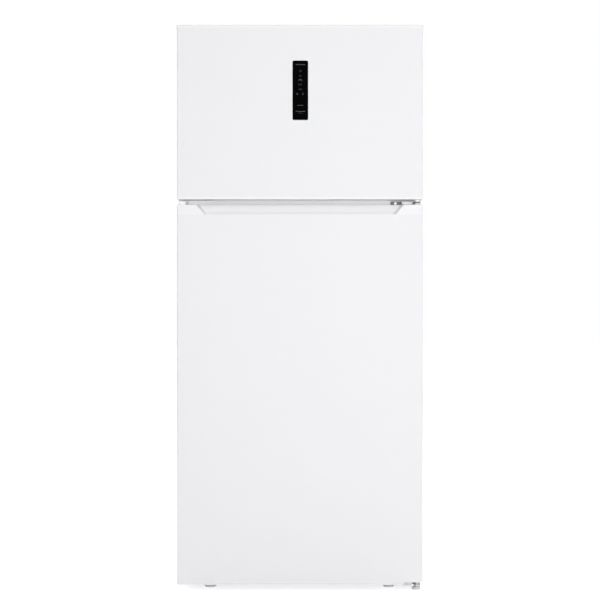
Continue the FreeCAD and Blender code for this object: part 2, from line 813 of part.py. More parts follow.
def hinge_hole_plug():
    """Cap in the hinge hole that the fridge door's handle cap has at its other end."""
    head = pillow(-pivot_x - 11, -pivot_x + 10, pivot_y - 11, pivot_y + 11, fridge_door_top, fridge_door_top + plug_height, 3)
    top = [e for e in head.Edges if e.BoundBox.ZMin > fridge_door_top + plug_height - 1e-3]
    head = head.makeFillet(1.5, top)
    return join([head, rod(pin_radius, (-pivot_x, pivot_y, fridge_door_top - 10), (-pivot_x, pivot_y, fridge_door_top))])


def hinge_bushes():
    """Nylon washers that fill the gap between the middle arm and the two doors."""
    rings = []
    for z0, z1 in (
        (fridge_door_top + touch_gap, gap_mid - hinge_plate / 2), (gap_mid + hinge_plate / 2, freezer_door_bottom - touch_gap),
    ):
        ring = rod(bush_radius, (pivot_x, pivot_y, z0), (pivot_x, pivot_y, z1))
        rings.append(cut(ring, rod(pin_radius + pin_fit, (pivot_x, pivot_y, z0 - 1), (pivot_x, pivot_y, z1 + 1))))
    return Part.makeCompound(rings)


# ---- inside the fridge -------------------------------------------------------------------------


def fridge_panes():
    """Level, half width, front and back of each glass pane in the fridge."""
    side_gap = 4.0
    back = fridge_back - 30
    panes = [(z + touch_gap, fridge_half - side_gap, shelf_front, back) for z in shelf_levels]
    panes.append((cover_z, fridge_half - side_gap, shelf_front, fridge_back - 4))
    return panes


def shelf_glass():
    """All five panes: three fridge shelves, the crispers' cover and the freezer's shelf."""
    bite = 4.0
    rows = fridge_panes() + [freezer_pane()]
    return Part.makeCompound([wide(w, y0 + bite, y1 - bite, z, z + glass) for z, w, y0, y1 in rows])


def freezer_pane():
    return freezer_shelf_z + touch_gap, freezer_half - 4, shelf_front, freezer_back - evaporator_room - 6


def trim_bar(half_width, y_edge, z, outward):
    """Plastic moulding along a pane's front or back edge, grooved for the glass."""
    y0, y1 = sorted((y_edge, y_edge - outward * trim_depth))
    bar = wide(half_width, y0, y1, z - 5, z - 5 + trim_height)
    bar = round_edges(bar, 4, (1, 0, 0), lambda p: abs(p.y - y_edge) < 1e-3)
    g0, g1 = sorted((y_edge - outward * (trim_depth + 1), y_edge - outward * 4))
    return cut(bar, wide(half_width + 1, g0, g1, z, z + glass))


def shelf_trims():
    bars = []
    narrow = 8.0
    for z, w, y0, y1 in fridge_panes()[:-1] + [freezer_pane()]:
        bars.append(trim_bar(w - narrow, y0, z, -1))
        bars.append(trim_bar(w - narrow, y1, z, 1))
    return Part.makeCompound(bars + [crisper_frame()])


def crisper_frame():
    """Frame under the crispers' glass cover: front beam, with the humidity slot."""
    z, w, y0, _ = fridge_panes()[-1]
    beam = trim_bar(w, y0, z, -1)
    drop = wide(w, y0, y0 + 4, z - 16, z - 4)
    slot = block(-slider_travel - 14, slider_travel + 14, y0 - 1, y0 + 5, z - 13, z - 9)
    return cut(join([beam, drop]), slot)


slider_travel = 18.0


def humidity_slider():
    """Small runner that opens and closes the crispers' vent."""
    z, _, y0, _ = fridge_panes()[-1]
    tongue = block(-10, 10, y0 - 4, y0 + 4 + clearance + 2, z - 12.6, z - 9.4)
    knob = pillow(-9, 9, y0 - 7, y0 - touch_gap, z - 15, z - 7, 2.5)
    inner = block(-12, 12, y0 + 4 + touch_gap, y0 + 7, z - 15, z - 7)
    return join([tongue, knob, inner])


def drawer_front(x0, x1, y, z0, z1):
    """Thick face of a drawer with a grip lip along its top."""
    face = block(x0, x1, y, y + 7, z0, z1)
    face = round_edges(face, 6, (0, 1, 0))
    lip = block(x0 + 30, x1 - 30, y - 11, y + 3, z1 - 16, z1 - 11)
    lip = round_edges(lip, 4, (0, 0, 1), lambda p: p.y < y)
    return join([face, lip])


def crisper(x0, x1):
    top = crisper_low + crisper_height
    tub = open_tray(x0 + 3, x1 - 3, crisper_front + 2, hump_front - 6, crisper_low, top, 2.5, 2.5, 16)
    face = drawer_front(x0, x1, crisper_front, crisper_low + 2, top + 3)
    rails = []
    for edge, way in ((x0 + 3, 1), (x1 - 3, -1)):
        r0, r1 = sorted((edge - way * 2.6, edge + way * 1))
        rails.append(block(r0, r1, crisper_front + 4, hump_front - 22, top - 5, top))
    return join([tub, face] + rails)


def crisper_left():
    return crisper(-fridge_half + drawer_side_gap, -2.0)


def crisper_right():
    return crisper(2.0, fridge_half - drawer_side_gap)


def chiller_places():
    top = shelf_levels[0] - 20
    return top - chiller_height, top


def chiller_drawer():
    low, top = chiller_places()
    hanger = 8.0
    x = fridge_half - drawer_side_gap - hanger
    y0, y1 = shelf_front + 4, fridge_back - 60
    tub = open_tray(-x + 3, x - 3, y0 + 2, y1, low, top, 2.5, 2.5, 14)
    face = drawer_front(-x, x, y0, low, top)
    hangers = []
    for side in (-1, 1):
        a, b = sorted((side * (x - 4), side * (x + hanger)))
        hangers.append(block(a, b, y0 + 12, y1 - 10, top - 4, top))
    return join([tub, face] + hangers)


def fridge_air_duct():
    """Tall moulding on the rear wall that spreads cold air through slots at every shelf."""
    y1 = fridge_back - touch_gap
    y0 = y1 - 22
    low, high = hump_top + 40, mullion_low - 12
    duct = pillow(-96, 96, y0, y1 + 14, low, high, 14)
    duct = cut(duct, wide(200, y1, y1 + 30, low - 1, high + 1))
    duct = cut(duct, wide(90, y0 + 3, y1 + 1, low + 6, high - 6))
    slots = []
    levels = list(shelf_levels) + [high - 60]
    for z in levels:
        for side in (-1, 1):
            for k in range(3):
                x = side * 52
                slots.append(block(x - 26, x + 26, y0 - 1, y0 + 4, z + 26 + 10 * k, z + 31 + 10 * k))
    return cut(duct, *[s for s in slots if s.BoundBox.ZMax < high - 8])


def fridge_lamp():
    """LED bar cover on the fridge's ceiling."""
    z1 = mullion_low - touch_gap
    lamp = pillow(-90, 90, shelf_front + 10, shelf_front + 44, z1 - 9, z1, 8)
    low = [e for e in lamp.Edges if abs(e.BoundBox.ZMax - (z1 - 9)) < 1e-6]
    return lamp.makeFillet(3, low)


# ---- inside the freezer ------------------------------------------------------------------------

cover_front = freezer_back - evaporator_room
fan_z = freezer_ceiling - 92.0


def evaporator_cover():
    """Panel across the freezer's back, with the fan's grille and slots to draw air in below."""
    side = freezer_half - clearance
    low, high = mullion_high + clearance, freezer_ceiling - clearance
    panel = wide(side, cover_front, cover_front + cover_thickness, low, high)
    panel = round_edges(panel, 3, (0, 0, 1), lambda p: p.y < cover_front + 1)
    cuts = []
    for k in range(-3, 4):
        z = fan_z + 14 * k
        reach = (max(fan_radius - 4, 14 * abs(k) + 2) ** 2 - (14 * k) ** 2) ** 0.5
        cuts.append(wide(reach, cover_front - 1, cover_front + cover_thickness + 1, z - 3.5, z + 3.5))
    for k in range(9):
        x = -side + 60 + k * (2 * side - 120) / 8
        cuts.append(block(x - 18, x + 18, cover_front - 1, cover_front + cover_thickness + 1, low + 14, low + 22))
    panel = cut(panel, *cuts)
    bezel = cut(
        rod(fan_radius + 9, (0, cover_front - 3, fan_z), (0, cover_front, fan_z)),
        rod(fan_radius + 2, (0, cover_front - 4, fan_z), (0, cover_front + 1, fan_z)),
    )
    return join([panel, bezel])


def evaporator():
    """Aluminium tube passes through a stack of fins."""
    reach = freezer_half - 52
    y0, y1 = cover_front + 26, cover_front + 84
    low, high = mullion_high + 22, fan_z - fan_radius - 24
    tubes = []
    passes = max(2, int((high - low) // 40))
    for k in range(passes):
        z = low + (k + 0.5) * (high - low) / passes
        for y in (y0 + 15, y1 - 15):
            tubes.append(rod(4, (-reach - 12, y, z), (reach + 12, y, z)))
    fins = []
    count = 24
    for k in range(count):
        x = -reach + k * 2 * reach / (count - 1)
        fins.append(block(x - 0.5, x + 0.5, y0, y1, low, high))
    return join(tubes + fins)


def fan_motor():
    """Shaded-pole motor on a three-arm bracket behind the cover."""
    y0 = cover_front + cover_thickness + touch_gap
    base = y0 + 36
    motor = rod(17, (0, base, fan_z), (0, base + 24, fan_z))
    arms = []
    for k in range(3):
        arm = block(12, fan_radius + 12, base + 8, base + 12, -4, 4)
        post = block(fan_radius + 6, fan_radius + 12, y0, base + 12, -4, 4)
        both = join([arm, post])
        both.rotate(Vector(0, 0, 0), Vector(0, 1, 0), 90 + 120 * k)
        both.translate(Vector(0, 0, fan_z))
        arms.append(both)
    shaft = rod(2, (0, base - 26, fan_z), (0, base + 1, fan_z))
    return join([motor, shaft] + arms)


def evaporator_fan():
    """Five-blade axial fan on the motor's shaft."""
    y0 = cover_front + cover_thickness + 4
    depth = 20.0
    hub = rod(13, (0, y0, fan_z), (0, y0 + depth, fan_z))
    front = [e for e in hub.Edges if abs(e.BoundBox.YMax - y0) < 1e-6]
    hub = hub.makeFillet(3, front)
    blades = []
    for k in range(5):
        blade = block(10, fan_radius - 5, -1, 1, -15, 15)
        blade = round_edges(blade, 12, (0, 1, 0), lambda p: p.x > 30)
        blade.rotate(Vector(0, 0, 0), Vector(1, 0, 0), 28)
        blade.translate(Vector(0, y0 + depth / 2, 0))
        blade.rotate(Vector(0, 0, 0), Vector(0, 1, 0), 72 * k)
        blade.translate(Vector(0, 0, fan_z))
        blades.append(blade)
    fan = join([hub] + blades)
    return cut(fan, rod(2 + pin_fit, (0, y0 + 4, fan_z), (0, y0 + depth + 5, fan_z)))


ice_x0 = -freezer_half + 12
ice_x1 = ice_x0 + ice_frame_width
ice_y0 = shelf_front + 22
ice_y1 = cover_front - 14
ice_top = freezer_ceiling - touch_gap
ice_axis_x = (ice_x0 + ice_x1) / 2
ice_axis_z = ice_top - ice_frame_height / 2


def ice_maker_frame():
    """Housing hung from the ceiling; the tray turns on its two end walls."""
    low = ice_top - ice_frame_height
    outer = pillow(ice_x0, ice_x1, ice_y0, ice_y1, low, ice_top, 8)
    hollow = block(ice_x0 + 4, ice_x1 - 4, ice_y0 + 6, ice_y1 - 6, low - 1, ice_top - 4)
    bore = rod(6 + pin_fit, (ice_axis_x, ice_y0 - 1, ice_axis_z), (ice_axis_x, ice_y1 + 1, ice_axis_z))
    return cut(outer, hollow, bore)


def ice_tray():
    """Cube tray with its turning knob at the front."""
    hx, y0, y1 = 24.0, ice_y0 + 9, ice_y1 - 9
    tray = block(ice_axis_x - hx, ice_axis_x + hx, y0, y1, ice_axis_z - 13, ice_axis_z + 10)
    tray = round_edges(tray, 6, (0, 1, 0), lambda p: p.z < ice_axis_z)
    cells = []
    rows = 8
    pitch = (y1 - y0 - 6) / rows
    for k in range(rows):
        for side in (-1, 1):
            a, b = sorted((ice_axis_x + side * 1.2, ice_axis_x + side * (hx - 2.4)))
            low_y = y0 + 4 + k * pitch
            cells.append(pillow(a, b, low_y, low_y + pitch - 2.4, ice_axis_z - 10, ice_axis_z + 11, 4))
    tray = cut(tray, *cells)
    front = rod(6, (ice_axis_x, ice_y0 - 8, ice_axis_z), (ice_axis_x, y0 + 2, ice_axis_z))
    rear = rod(6, (ice_axis_x, y1 - 2, ice_axis_z), (ice_axis_x, ice_y1 - 1, ice_axis_z))
    knob = rod(19, (ice_axis_x, ice_y0 - 12, ice_axis_z), (ice_axis_x, ice_y0 - 4, ice_axis_z))
    wing = block(ice_axis_x - 4, ice_axis_x + 4, ice_y0 - 24, ice_y0 - 11, ice_axis_z - 18, ice_axis_z + 18)
    wing = round_edges(wing, 3, (1, 0, 0), lambda p: p.y < ice_y0 - 20)
    return join([tray, front, rear, knob, wing])


def ice_bin():
    low = freezer_shelf_z + glass + 10
    high = ice_top - ice_frame_height - 8
    tub = open_tray(ice_x0 + 3, ice_x1 - 3, ice_y0 + 2, ice_y1, low, high, 2.5, 2.5, 14)
    return join([tub, drawer_front(ice_x0, ice_x1, ice_y0 - 2, low, high)])


# ---- doors -------------------------------------------------------------------------------------


def door_plan(half_width, y0, y1, z0, z1, radius):
    """A door slab whose two front vertical edges are rounded."""
    slab = wide(half_width, y0, y1, z0, z1)
    return round_edges(slab, radius, (0, 0, 1), lambda p: abs(p.y - y0) < 1e-3)


edge_radius = 4.0


def steel_pan(z0, z1, front_top):
    """Folded steel: the door's front and both sides. Its front may rise above its sides."""
    depth_end = door_back - liner_wall
    outer = door_plan(half, door_front, depth_end, z0, z1, edge_radius)
    inner = door_plan(half - wall_steel, door_front + wall_steel, depth_end + 1, z0 - 1, z1 + 1, edge_radius - wall_steel)
    pan = cut(outer, inner)
    if front_top > z1:
        rise = door_plan(half, door_front, door_front + 6, z1 - 1, front_top, edge_radius)
        rise = cut(rise, wide(half + 1, door_front + wall_steel, door_front + 9, z1 - 2, front_top + 1))
        pan = join([pan, rise])
    return pan


def seal_ring(low_out, high_out):
    inner_half = half - seal_inset - seal_width
    return frame_ring(
        half - seal_inset, inner_half, door_back, cab_front - touch_gap,
        low_out, low_out + seal_width, high_out - seal_width, high_out,
    )


def rim_solid(rim_half, low, high, shrink):
    """The liner's raised rim as a ring, shrunk inwards on all its faces."""
    tip = door_back + rim_depth - shrink
    corner = 9.0 - shrink
    out = wide(rim_half - shrink, door_back - liner_wall, tip, low + shrink, high - shrink)
    out = round_edges(out, corner, (0, 1, 0))
    inside = wide(
        rim_half - rim_width + shrink, door_back - 9, tip + 1,
        low + rim_width - shrink, high - rim_width + shrink,
    )
    inside = round_edges(inside, max(1.0, 6.0 - shrink), (0, 1, 0))
    ring = cut(out, inside)
    if shrink == 0:
        ring = soften_tip(ring, tip)
    return ring


def soften_tip(ring, tip):
    edges = [edge for edge in ring.Edges if edge.BoundBox.YMin > tip - 1e-3]
    return ring.makeFillet(4.0, edges)


border_inset = 0.2


def door_liner(z0, z1, rim_half, rim_low, rim_high, boss_levels):
    """Thin moulded sheet: a flat border for the seal, and the hollow rim with its bin bosses."""
    sheet = wide(half - border_inset, door_back - liner_wall, door_back, z0, z1)
    opening = rim_solid(rim_half, rim_low, rim_high, liner_wall)
    rim = rim_solid(rim_half, rim_low, rim_high, 0)
    bosses = []
    wall = rim_half - rim_width
    for z in boss_levels:
        for side in (-1, 1):
            a, b = sorted((side * (wall - boss_reach), side * (wall + 1.0)))
            y0 = door_back + 6
            boss = block(a, b, y0, y0 + boss_depth, z, z + boss_height)
            bosses.append(round_edges(boss, 2.0, (1, 0, 0)))
    return join([cut(join([sheet, rim]), opening)] + bosses)


def door_foam(z0, z1, rim_half, rim_low, rim_high, *others):
    slab = door_plan(
        half - wall_steel, door_front + wall_steel, door_back - liner_wall, z0, z1, edge_radius - wall_steel,
    )
    core = join([slab, rim_solid(rim_half, rim_low, rim_high, liner_wall)])
    return cut(core, *others)


def hinge_boss(z0, z1, side=1):
    return rod(10, (side * pivot_x, pivot_y, z0), (side * pivot_x, pivot_y, z1))


def hinge_bore(z0, z1, side=1):
    return rod(pin_radius + pin_fit, (side * pivot_x, pivot_y, z0), (side * pivot_x, pivot_y, z1))


# freezer door

freezer_deck_top = cab_top - 2
freezer_seal_low = freezer_door_bottom + 8
freezer_seal_high = cab_top - 9
freezer_rim_low = mullion_high + 10
freezer_rim_high = freezer_ceiling - 10
bin_wall = 2.5
bin_drop = 18.0                # a bin's floor is this far below its bosses
freezer_bin_depth = 86.0
freezer_bin_height = 92.0
freezer_bin_levels = (freezer_rim_low + rim_width + bin_drop + 3, freezer_shelf_z + 30)
cheek = 10.0


def freezer_door_skin():
    skin = steel_pan(freezer_door_bottom + bottom_strip, freezer_deck_top, overall_height - top_strip)
    x0, x1, z0, z1 = panel_box()
    window = round_edges(
        block(x0 - 0.2, x1 + 0.2, door_front - 2, door_front + 2, z0 - 0.2, z1 + 0.2), panel_corner, (0, 1, 0),
    )
    return cut(skin, window)


def panel_box():
    z1 = overall_height - panel_drop
    return -panel_width / 2, panel_width / 2, z1 - panel_height, z1


def control_panel():
    """Dark glass window over the touch keys and lamps."""
    x0, x1, z0, z1 = panel_box()
    pane = block(x0, x1, door_front - panel_proud, door_front + panel_thickness, z0, z1)
    pane = round_edges(pane, panel_corner, (0, 1, 0))
    face = [e for e in pane.Edges if e.BoundBox.YMax < door_front - panel_proud + 1e-3]
    return pane.makeFillet(0.5, face)


def freezer_door_top_cap():
    """End cap: a deck under the hinge arm, and a front lip that hides it."""
    z0 = freezer_deck_top - deck
    deck_part = door_plan(
        half - wall_steel - 0.1, door_front + wall_steel + 0.1, door_back - liner_wall,
        z0, freezer_deck_top, edge_radius - wall_steel,
    )
    lip_back = door_front + lip_thickness
    inner_lip = wide(half - 0.1, door_front + wall_steel, lip_back, freezer_deck_top, overall_height - top_strip)
    tails = []
    for side in (-1, 1):
        a, b = sorted((side * (half - 2), side * (half + lip_overhang)))
        tails.append(block(a, b, door_front + edge_radius, lip_back, freezer_deck_top + 0.5, overall_height))
    strip = door_plan(
        half + lip_overhang, door_front, lip_back, overall_height - top_strip, overall_height, edge_radius,
    )
    strip = round_edges(strip, 2.0, (1, 0, 0), lambda p: p.z > overall_height - 1 and p.y < door_front + 1)
    cap = join([deck_part, inner_lip, strip] + tails)
    cap = join([cap, hinge_boss(freezer_deck_top - pin_length - 3, freezer_deck_top)])
    return cut(cap, hinge_bore(freezer_deck_top - pin_length, freezer_deck_top + 1))


def grip_pocket(z0, z1, grow):
    y0 = door_front + scoop_top_depth + grip_ridge - grow
    y1 = y0 + grip_depth_y + 2 * grow
    pocket = wide(grip_half + grow, y0, y1, z0, z1)
    return round_edges(pocket, grip_corner, (0, 0, 1))


def freezer_door_bottom_cap():
    """End cap with a long pocket to pull the door by from below."""
    z0, z1 = freezer_door_bottom, freezer_door_bottom + bottom_strip
    rim = door_plan(half - 0.4, door_front + 0.2, door_back - liner_wall, z0, z1, edge_radius)
    rim = round_edges(rim, 2.0, (1, 0, 0), lambda p: p.z < z0 + 1 and p.y < door_front + 1)
    wall_top = z0 + grip_depth_z + plastic_wall
    walls = cut(grip_pocket(z0 + 1, wall_top, plastic_wall), grip_pocket(z0, z0 + grip_depth_z, 0))
    hollow = wide(half - 20, door_front + 8, door_back - 12, z0 + plastic_wall, z1 + 1)
    hollow = cut(hollow, grip_pocket(z0, wall_top, plastic_wall), hinge_boss(z0, z1 + 2))
    body = cut(rim, hollow, grip_pocket(z0 - 1, z1 + 1, 0))
    body = join([body, walls, hinge_boss(z0, z0 + pin_length + 3)])
    return cut(body, hinge_bore(z0 - 1, z0 + pin_length + touch_gap))


def freezer_door_liner():
    return door_liner(
        freezer_door_bottom + 4, freezer_deck_top - 2, freezer_rim_half,
        freezer_rim_low, freezer_rim_high, freezer_bin_levels,
    )


def freezer_door_foam():
    z0, z1 = freezer_door_bottom + plastic_wall, freezer_deck_top - deck
    x0, x1, p0, p1 = panel_box()
    board_room = block(x0 - 4, x1 + 4, door_front, door_front + panel_thickness + 12, p0 - 4, p1 + 4)
    return door_foam(
        z0, z1, freezer_rim_half, freezer_rim_low, freezer_rim_high,
        freezer_door_bottom_cap(), freezer_door_top_cap(), freezer_door_liner(), board_room,
        grip_pocket(0, freezer_door_bottom + grip_depth_z, 0),
        hinge_boss(freezer_deck_top - pin_length - 3, freezer_deck_top),
        hinge_boss(0, freezer_door_bottom + pin_length + 3),
    )


def freezer_door_gasket():
    return seal_ring(freezer_seal_low, freezer_seal_high)


def door_bin(wall_half, level, height, reach, low=bin_drop):
    """A bin whose end cheeks are slotted from below, so that it hangs on the rim's bosses."""
    x = wall_half - clearance
    y0, y1 = door_back + touch_gap, door_back + reach
    z0 = level - low
    z1 = z0 + height
    outer = wide(x, y0, y1, z0, z1)
    outer = round_edges(outer, 18.0, (0, 0, 1), lambda p: p.y > y1 - 1)
    floor_edge = [e for e in outer.Edges if e.BoundBox.ZMax < z0 + 1e-3 and e.BoundBox.YMax > y0 + 1]
    outer = outer.makeFillet(4.0, floor_edge)
    hollow = wide(x - cheek, y0 + bin_wall, y1 - bin_wall, z0 + bin_wall, z1 + 1)
    hollow = round_edges(hollow, 10.0, (0, 0, 1), lambda p: p.y > y1 - bin_wall - 1)
    notch = []
    slot_y = door_back + 6 - 0.4
    for side in (-1, 1):
        a, b = sorted((side * (wall_half - boss_reach - 0.4), side * (x + 1)))
        notch.append(block(a, b, slot_y, slot_y + boss_depth + 0.8, z0 - 1, level + boss_height + touch_gap))
    return cut(outer, hollow, *notch)


def freezer_bin_lower():
    return door_bin(freezer_rim_half - rim_width, freezer_bin_levels[0], freezer_bin_height, freezer_bin_depth)


def freezer_bin_upper():
    return door_bin(freezer_rim_half - rim_width, freezer_bin_levels[1], freezer_bin_height, freezer_bin_depth)


# fridge door

fridge_cap_low = fridge_door_top - handle_cap_height
fridge_seal_low = cabinet_bottom_z + 26
fridge_seal_high = fridge_door_top - 8
fridge_rim_low = fridge_floor_z + 12
fridge_rim_high = mullion_low - 10
bottle_drop = 40.0
bottle_level = fridge_rim_low + rim_width + bottle_drop + 3
upper_bin_drop = 318.0          # rim's top to the upper bin's bosses
bottle_share = 33 / 64          # of the height between the lowest and highest bosses
upper_level = fridge_rim_high - upper_bin_drop
fridge_bin_levels = (bottle_level, bottle_level + bottle_share * (upper_level - bottle_level), upper_level)
fridge_bin_reach = 104.0
bottle_reach = 114.0


def scoop(grow):
    """Hollow on the cap's face: a slope down to the seam, wider at the top, with leaning ends."""
    z0, z1 = fridge_cap_low + 1.0 - grow, fridge_door_top + 1
    front = door_front - 1

    def section(z, half_width, depth):
        back = door_front + depth + grow
        wide_front = half_width + grow
        narrow = half_width - scoop_end_slant + grow
        return Part.makePolygon([
            Vector(-wide_front, front, z), Vector(wide_front, front, z),
            Vector(narrow, back, z), Vector(-narrow, back, z), Vector(-wide_front, front, z),
        ])

    lean = (scoop_top_half - scoop_low_half) / (handle_cap_height - 1.0)
    rise = (scoop_top_depth - scoop_low_depth) / (handle_cap_height - 1.0)
    over = z1 - fridge_door_top
    low = section(z0, scoop_low_half, scoop_low_depth)
    high = section(z1, scoop_top_half + over * lean, scoop_top_depth + over * rise)
    return Part.makeLoft([low, high], True, True)


def fridge_door_top_cap():
    """Handle cap: the scoop in front, a ridge, and a pocket behind it to pull the door by."""
    z0, z1 = fridge_cap_low, fridge_door_top
    outer = door_plan(half, door_front, door_back - liner_wall, z0, z1, edge_radius)
    outer = round_edges(outer, 2.0, (1, 0, 0), lambda p: p.z > z1 - 1 and p.y < door_front + 1)
    pocket = grip_pocket(z1 - grip_depth_z, z1 + 1, 0)
    hollow = wide(half - 4, door_front + 4, door_back - liner_wall - plastic_wall, z0 - 1, z1 - plastic_wall)
    hollow = cut(
        hollow, scoop(plastic_wall),
        grip_pocket(z1 - grip_depth_z - plastic_wall, z1 + 1, plastic_wall),
        hinge_boss(z0 - 1, z1 + 1), hinge_boss(z0 - 1, z1 + 1, -1),
    )
    cap = cut(outer, scoop(0), pocket, hollow)
    depth = z1 - pin_length - touch_gap
    return cut(cap, hinge_bore(depth, z1 + 1), hinge_bore(depth, z1 + 1, -1))


def hinge_notch():
    """The room cut from the fridge door's lower right corner for the bottom hinge plate."""
    z0 = door_bottom_z
    return block(
        half - hinge_notch_length, half + 5, door_front - 1, door_back + 1, z0 - 1, z0 + hinge_notch_height,
    )


def fridge_door_bottom_cap():
    z0 = door_bottom_z
    z1 = z0 + base_strip
    rim = door_plan(half - 0.4, door_front + 0.4, door_back - liner_wall, z0, z1, edge_radius)
    roof = z0 + hinge_notch_height
    notch_x = half - hinge_notch_length
    inset = wall_steel + edge_radius
    pad = block(notch_x - 6, half - inset, door_front + inset, door_back - liner_wall, z0, roof + 3)
    body = join([rim, pad, hinge_boss(z0 + 1, roof + pin_length + 3)])
    hollow = wide(half - 20, door_front + 8, door_back - 12, z0 + plastic_wall, z1 + 1)
    hollow = cut(hollow, block(notch_x - 6, half, door_front, door_back, z0, roof + 3))
    return cut(body, hinge_notch(), hollow, hinge_bore(roof - 1, roof + pin_length + touch_gap))


def fridge_door_skin():
    skin = steel_pan(door_bottom_z + base_strip, fridge_cap_low, fridge_cap_low)
    return cut(skin, hinge_notch())


def fridge_door_liner():
    liner = door_liner(
        door_bottom_z + 1, fridge_door_top - 4, fridge_rim_half,
        fridge_rim_low, fridge_rim_high, fridge_bin_levels,
    )
    return cut(liner, hinge_notch())


def fridge_door_foam():
    z0, z1 = door_bottom_z + plastic_wall, fridge_door_top - plastic_wall
    notch_x = half - hinge_notch_length
    roof = door_bottom_z + hinge_notch_height
    outside_cap = cut(
        wide(half, door_front, door_back, fridge_cap_low, fridge_door_top),
        wide(half - 4, door_front + 4, door_back - liner_wall - plastic_wall, fridge_cap_low - 1, fridge_door_top),
    )
    return door_foam(
        z0, z1, fridge_rim_half, fridge_rim_low, fridge_rim_high,
        outside_cap, scoop(plastic_wall),
        grip_pocket(fridge_door_top - grip_depth_z - plastic_wall, fridge_door_top + 1, plastic_wall),
        hinge_boss(fridge_cap_low - 1, fridge_door_top + 1),
        hinge_boss(fridge_cap_low - 1, fridge_door_top + 1, -1),
        fridge_door_bottom_cap(), fridge_door_liner(),
        block(notch_x - 6, half + 1, door_front - 1, door_back, 0, roof + 3),
        hinge_boss(0, roof + pin_length + 3),
    )


def fridge_door_gasket():
    return seal_ring(fridge_seal_low, fridge_seal_high)


def fridge_wall():
    return fridge_rim_half - rim_width


def bottle_bin():
    return door_bin(fridge_wall(), fridge_bin_levels[0], 112, bottle_reach, bottle_drop)


def fridge_bin_middle():
    return door_bin(fridge_wall(), fridge_bin_levels[1], 86, fridge_bin_reach)


def fridge_bin_upper():
    return door_bin(fridge_wall(), fridge_bin_levels[2], 80, fridge_bin_reach)


def egg_tray():
    """Removable rack for eggs, standing in the upper bin."""
    floor = fridge_bin_levels[2] - bin_drop + bin_wall + touch_gap
    left = -(fridge_wall() - clearance - cheek) + 8
    length = 236.0
    y0 = door_back + touch_gap + bin_wall + 8
    y1 = door_back + fridge_bin_reach - bin_wall - 8
    height = 26.0
    body = pillow(left, left + length, y0, y1, floor, floor + height, 9)
    under = pillow(left + 2, left + length - 2, y0 + 2, y1 - 2, floor - 1, floor + height - 2, 7)
    body = cut(body, under)
    holes = []
    for row in range(2):
        for k in range(6):
            x = left + 22 + k * (length - 44) / 5
            y = y0 + 20 + row * (y1 - y0 - 40)
            holes.append(rod(15.5, (x, y, floor + height - 5), (x, y, floor + height + 2)))
    return cut(body, *holes)


# ---- write every sub-part ----------------------------------------------------------------------


def parts():
    made = {
        "cabinet_shell": cabinet_shell, "back_panel": back_panel, "bottom_plate": bottom_plate,
        "cabinet_foam": cabinet_foam, "freezer_liner": freezer_liner, "fridge_liner": fridge_liner,
        "mullion_rail": mullion_rail, "base_frame": base_frame, "compressor": compressor,
        "compressor_grommets": compressor_grommets, "terminal_cover": terminal_cover,
        "drain_pan": drain_pan, "refrigerant_pipes": refrigerant_pipes, "condenser": condenser,
        "power_cord_gland": power_cord_gland, "top_hinge": top_hinge, "top_hinge_cover": top_hinge_cover,
        "middle_hinge": middle_hinge, "middle_hinge_cover": middle_hinge_cover,
        "bottom_hinge": bottom_hinge, "hinge_screws": hinge_screws,
        "hinge_bushes": hinge_bushes, "hinge_hole_plug": hinge_hole_plug, "shelf_glass": shelf_glass, "shelf_trims": shelf_trims,
        "humidity_slider": humidity_slider, "crisper_left": crisper_left, "crisper_right": crisper_right,
        "chiller_drawer": chiller_drawer, "fridge_air_duct": fridge_air_duct, "fridge_lamp": fridge_lamp,
        "evaporator": evaporator, "evaporator_cover": evaporator_cover, "fan_motor": fan_motor,
        "evaporator_fan": evaporator_fan, "ice_maker_frame": ice_maker_frame, "ice_tray": ice_tray,
        "ice_bin": ice_bin, "freezer_door_skin": freezer_door_skin, "control_panel": control_panel,
        "freezer_door_top_cap": freezer_door_top_cap, "freezer_door_bottom_cap": freezer_door_bottom_cap,
        "freezer_door_liner": freezer_door_liner, "freezer_door_foam": freezer_door_foam,
        "freezer_door_gasket": freezer_door_gasket, "freezer_bin_lower": freezer_bin_lower,
        "freezer_bin_upper": freezer_bin_upper, "fridge_door_skin": fridge_door_skin,
        "fridge_door_top_cap": fridge_door_top_cap, "fridge_door_bottom_cap": fridge_door_bottom_cap,
        "fridge_door_liner": fridge_door_liner, "fridge_door_foam": fridge_door_foam,
        "fridge_door_gasket": fridge_door_gasket, "bottle_bin": bottle_bin,
        "fridge_bin_middle": fridge_bin_middle, "fridge_bin_upper": fridge_bin_upper, "egg_tray": egg_tray,
    }
    shapes = {name: maker() for name, maker in made.items()}
    for name, (x, y) in foot_places().items():
        shapes[name] = levelling_foot(x, y, foot_radius, cabinet_bottom_z - 4)
    x, y = hinge_foot_place()
    shapes["hinge_foot"] = levelling_foot(x, y, 13.0, door_bottom_z + 1)
    for name, (x, y) in roller_places().items():
        shapes[name] = roller(x, y)
    return shapes


def write(shapes):
    os.makedirs("parts", exist_ok=True)
    for name, shape in shapes.items():
        solids = [s for s in shape.Solids if s.Volume > 1.0]
        if not all(s.isValid() for s in solids):
            print("not valid:", name)
        whole = solids[0] if len(solids) == 1 else Part.makeCompound(solids)
        whole.exportStep("parts/" + name + ".step")
        print(f"{name}: {len(solids)} solid(s), {sum(s.Volume for s in solids) / 1000:.1f} cm3")


write(parts())
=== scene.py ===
import json
import math

import bmesh
import bpy
from mathutils import Matrix, Vector


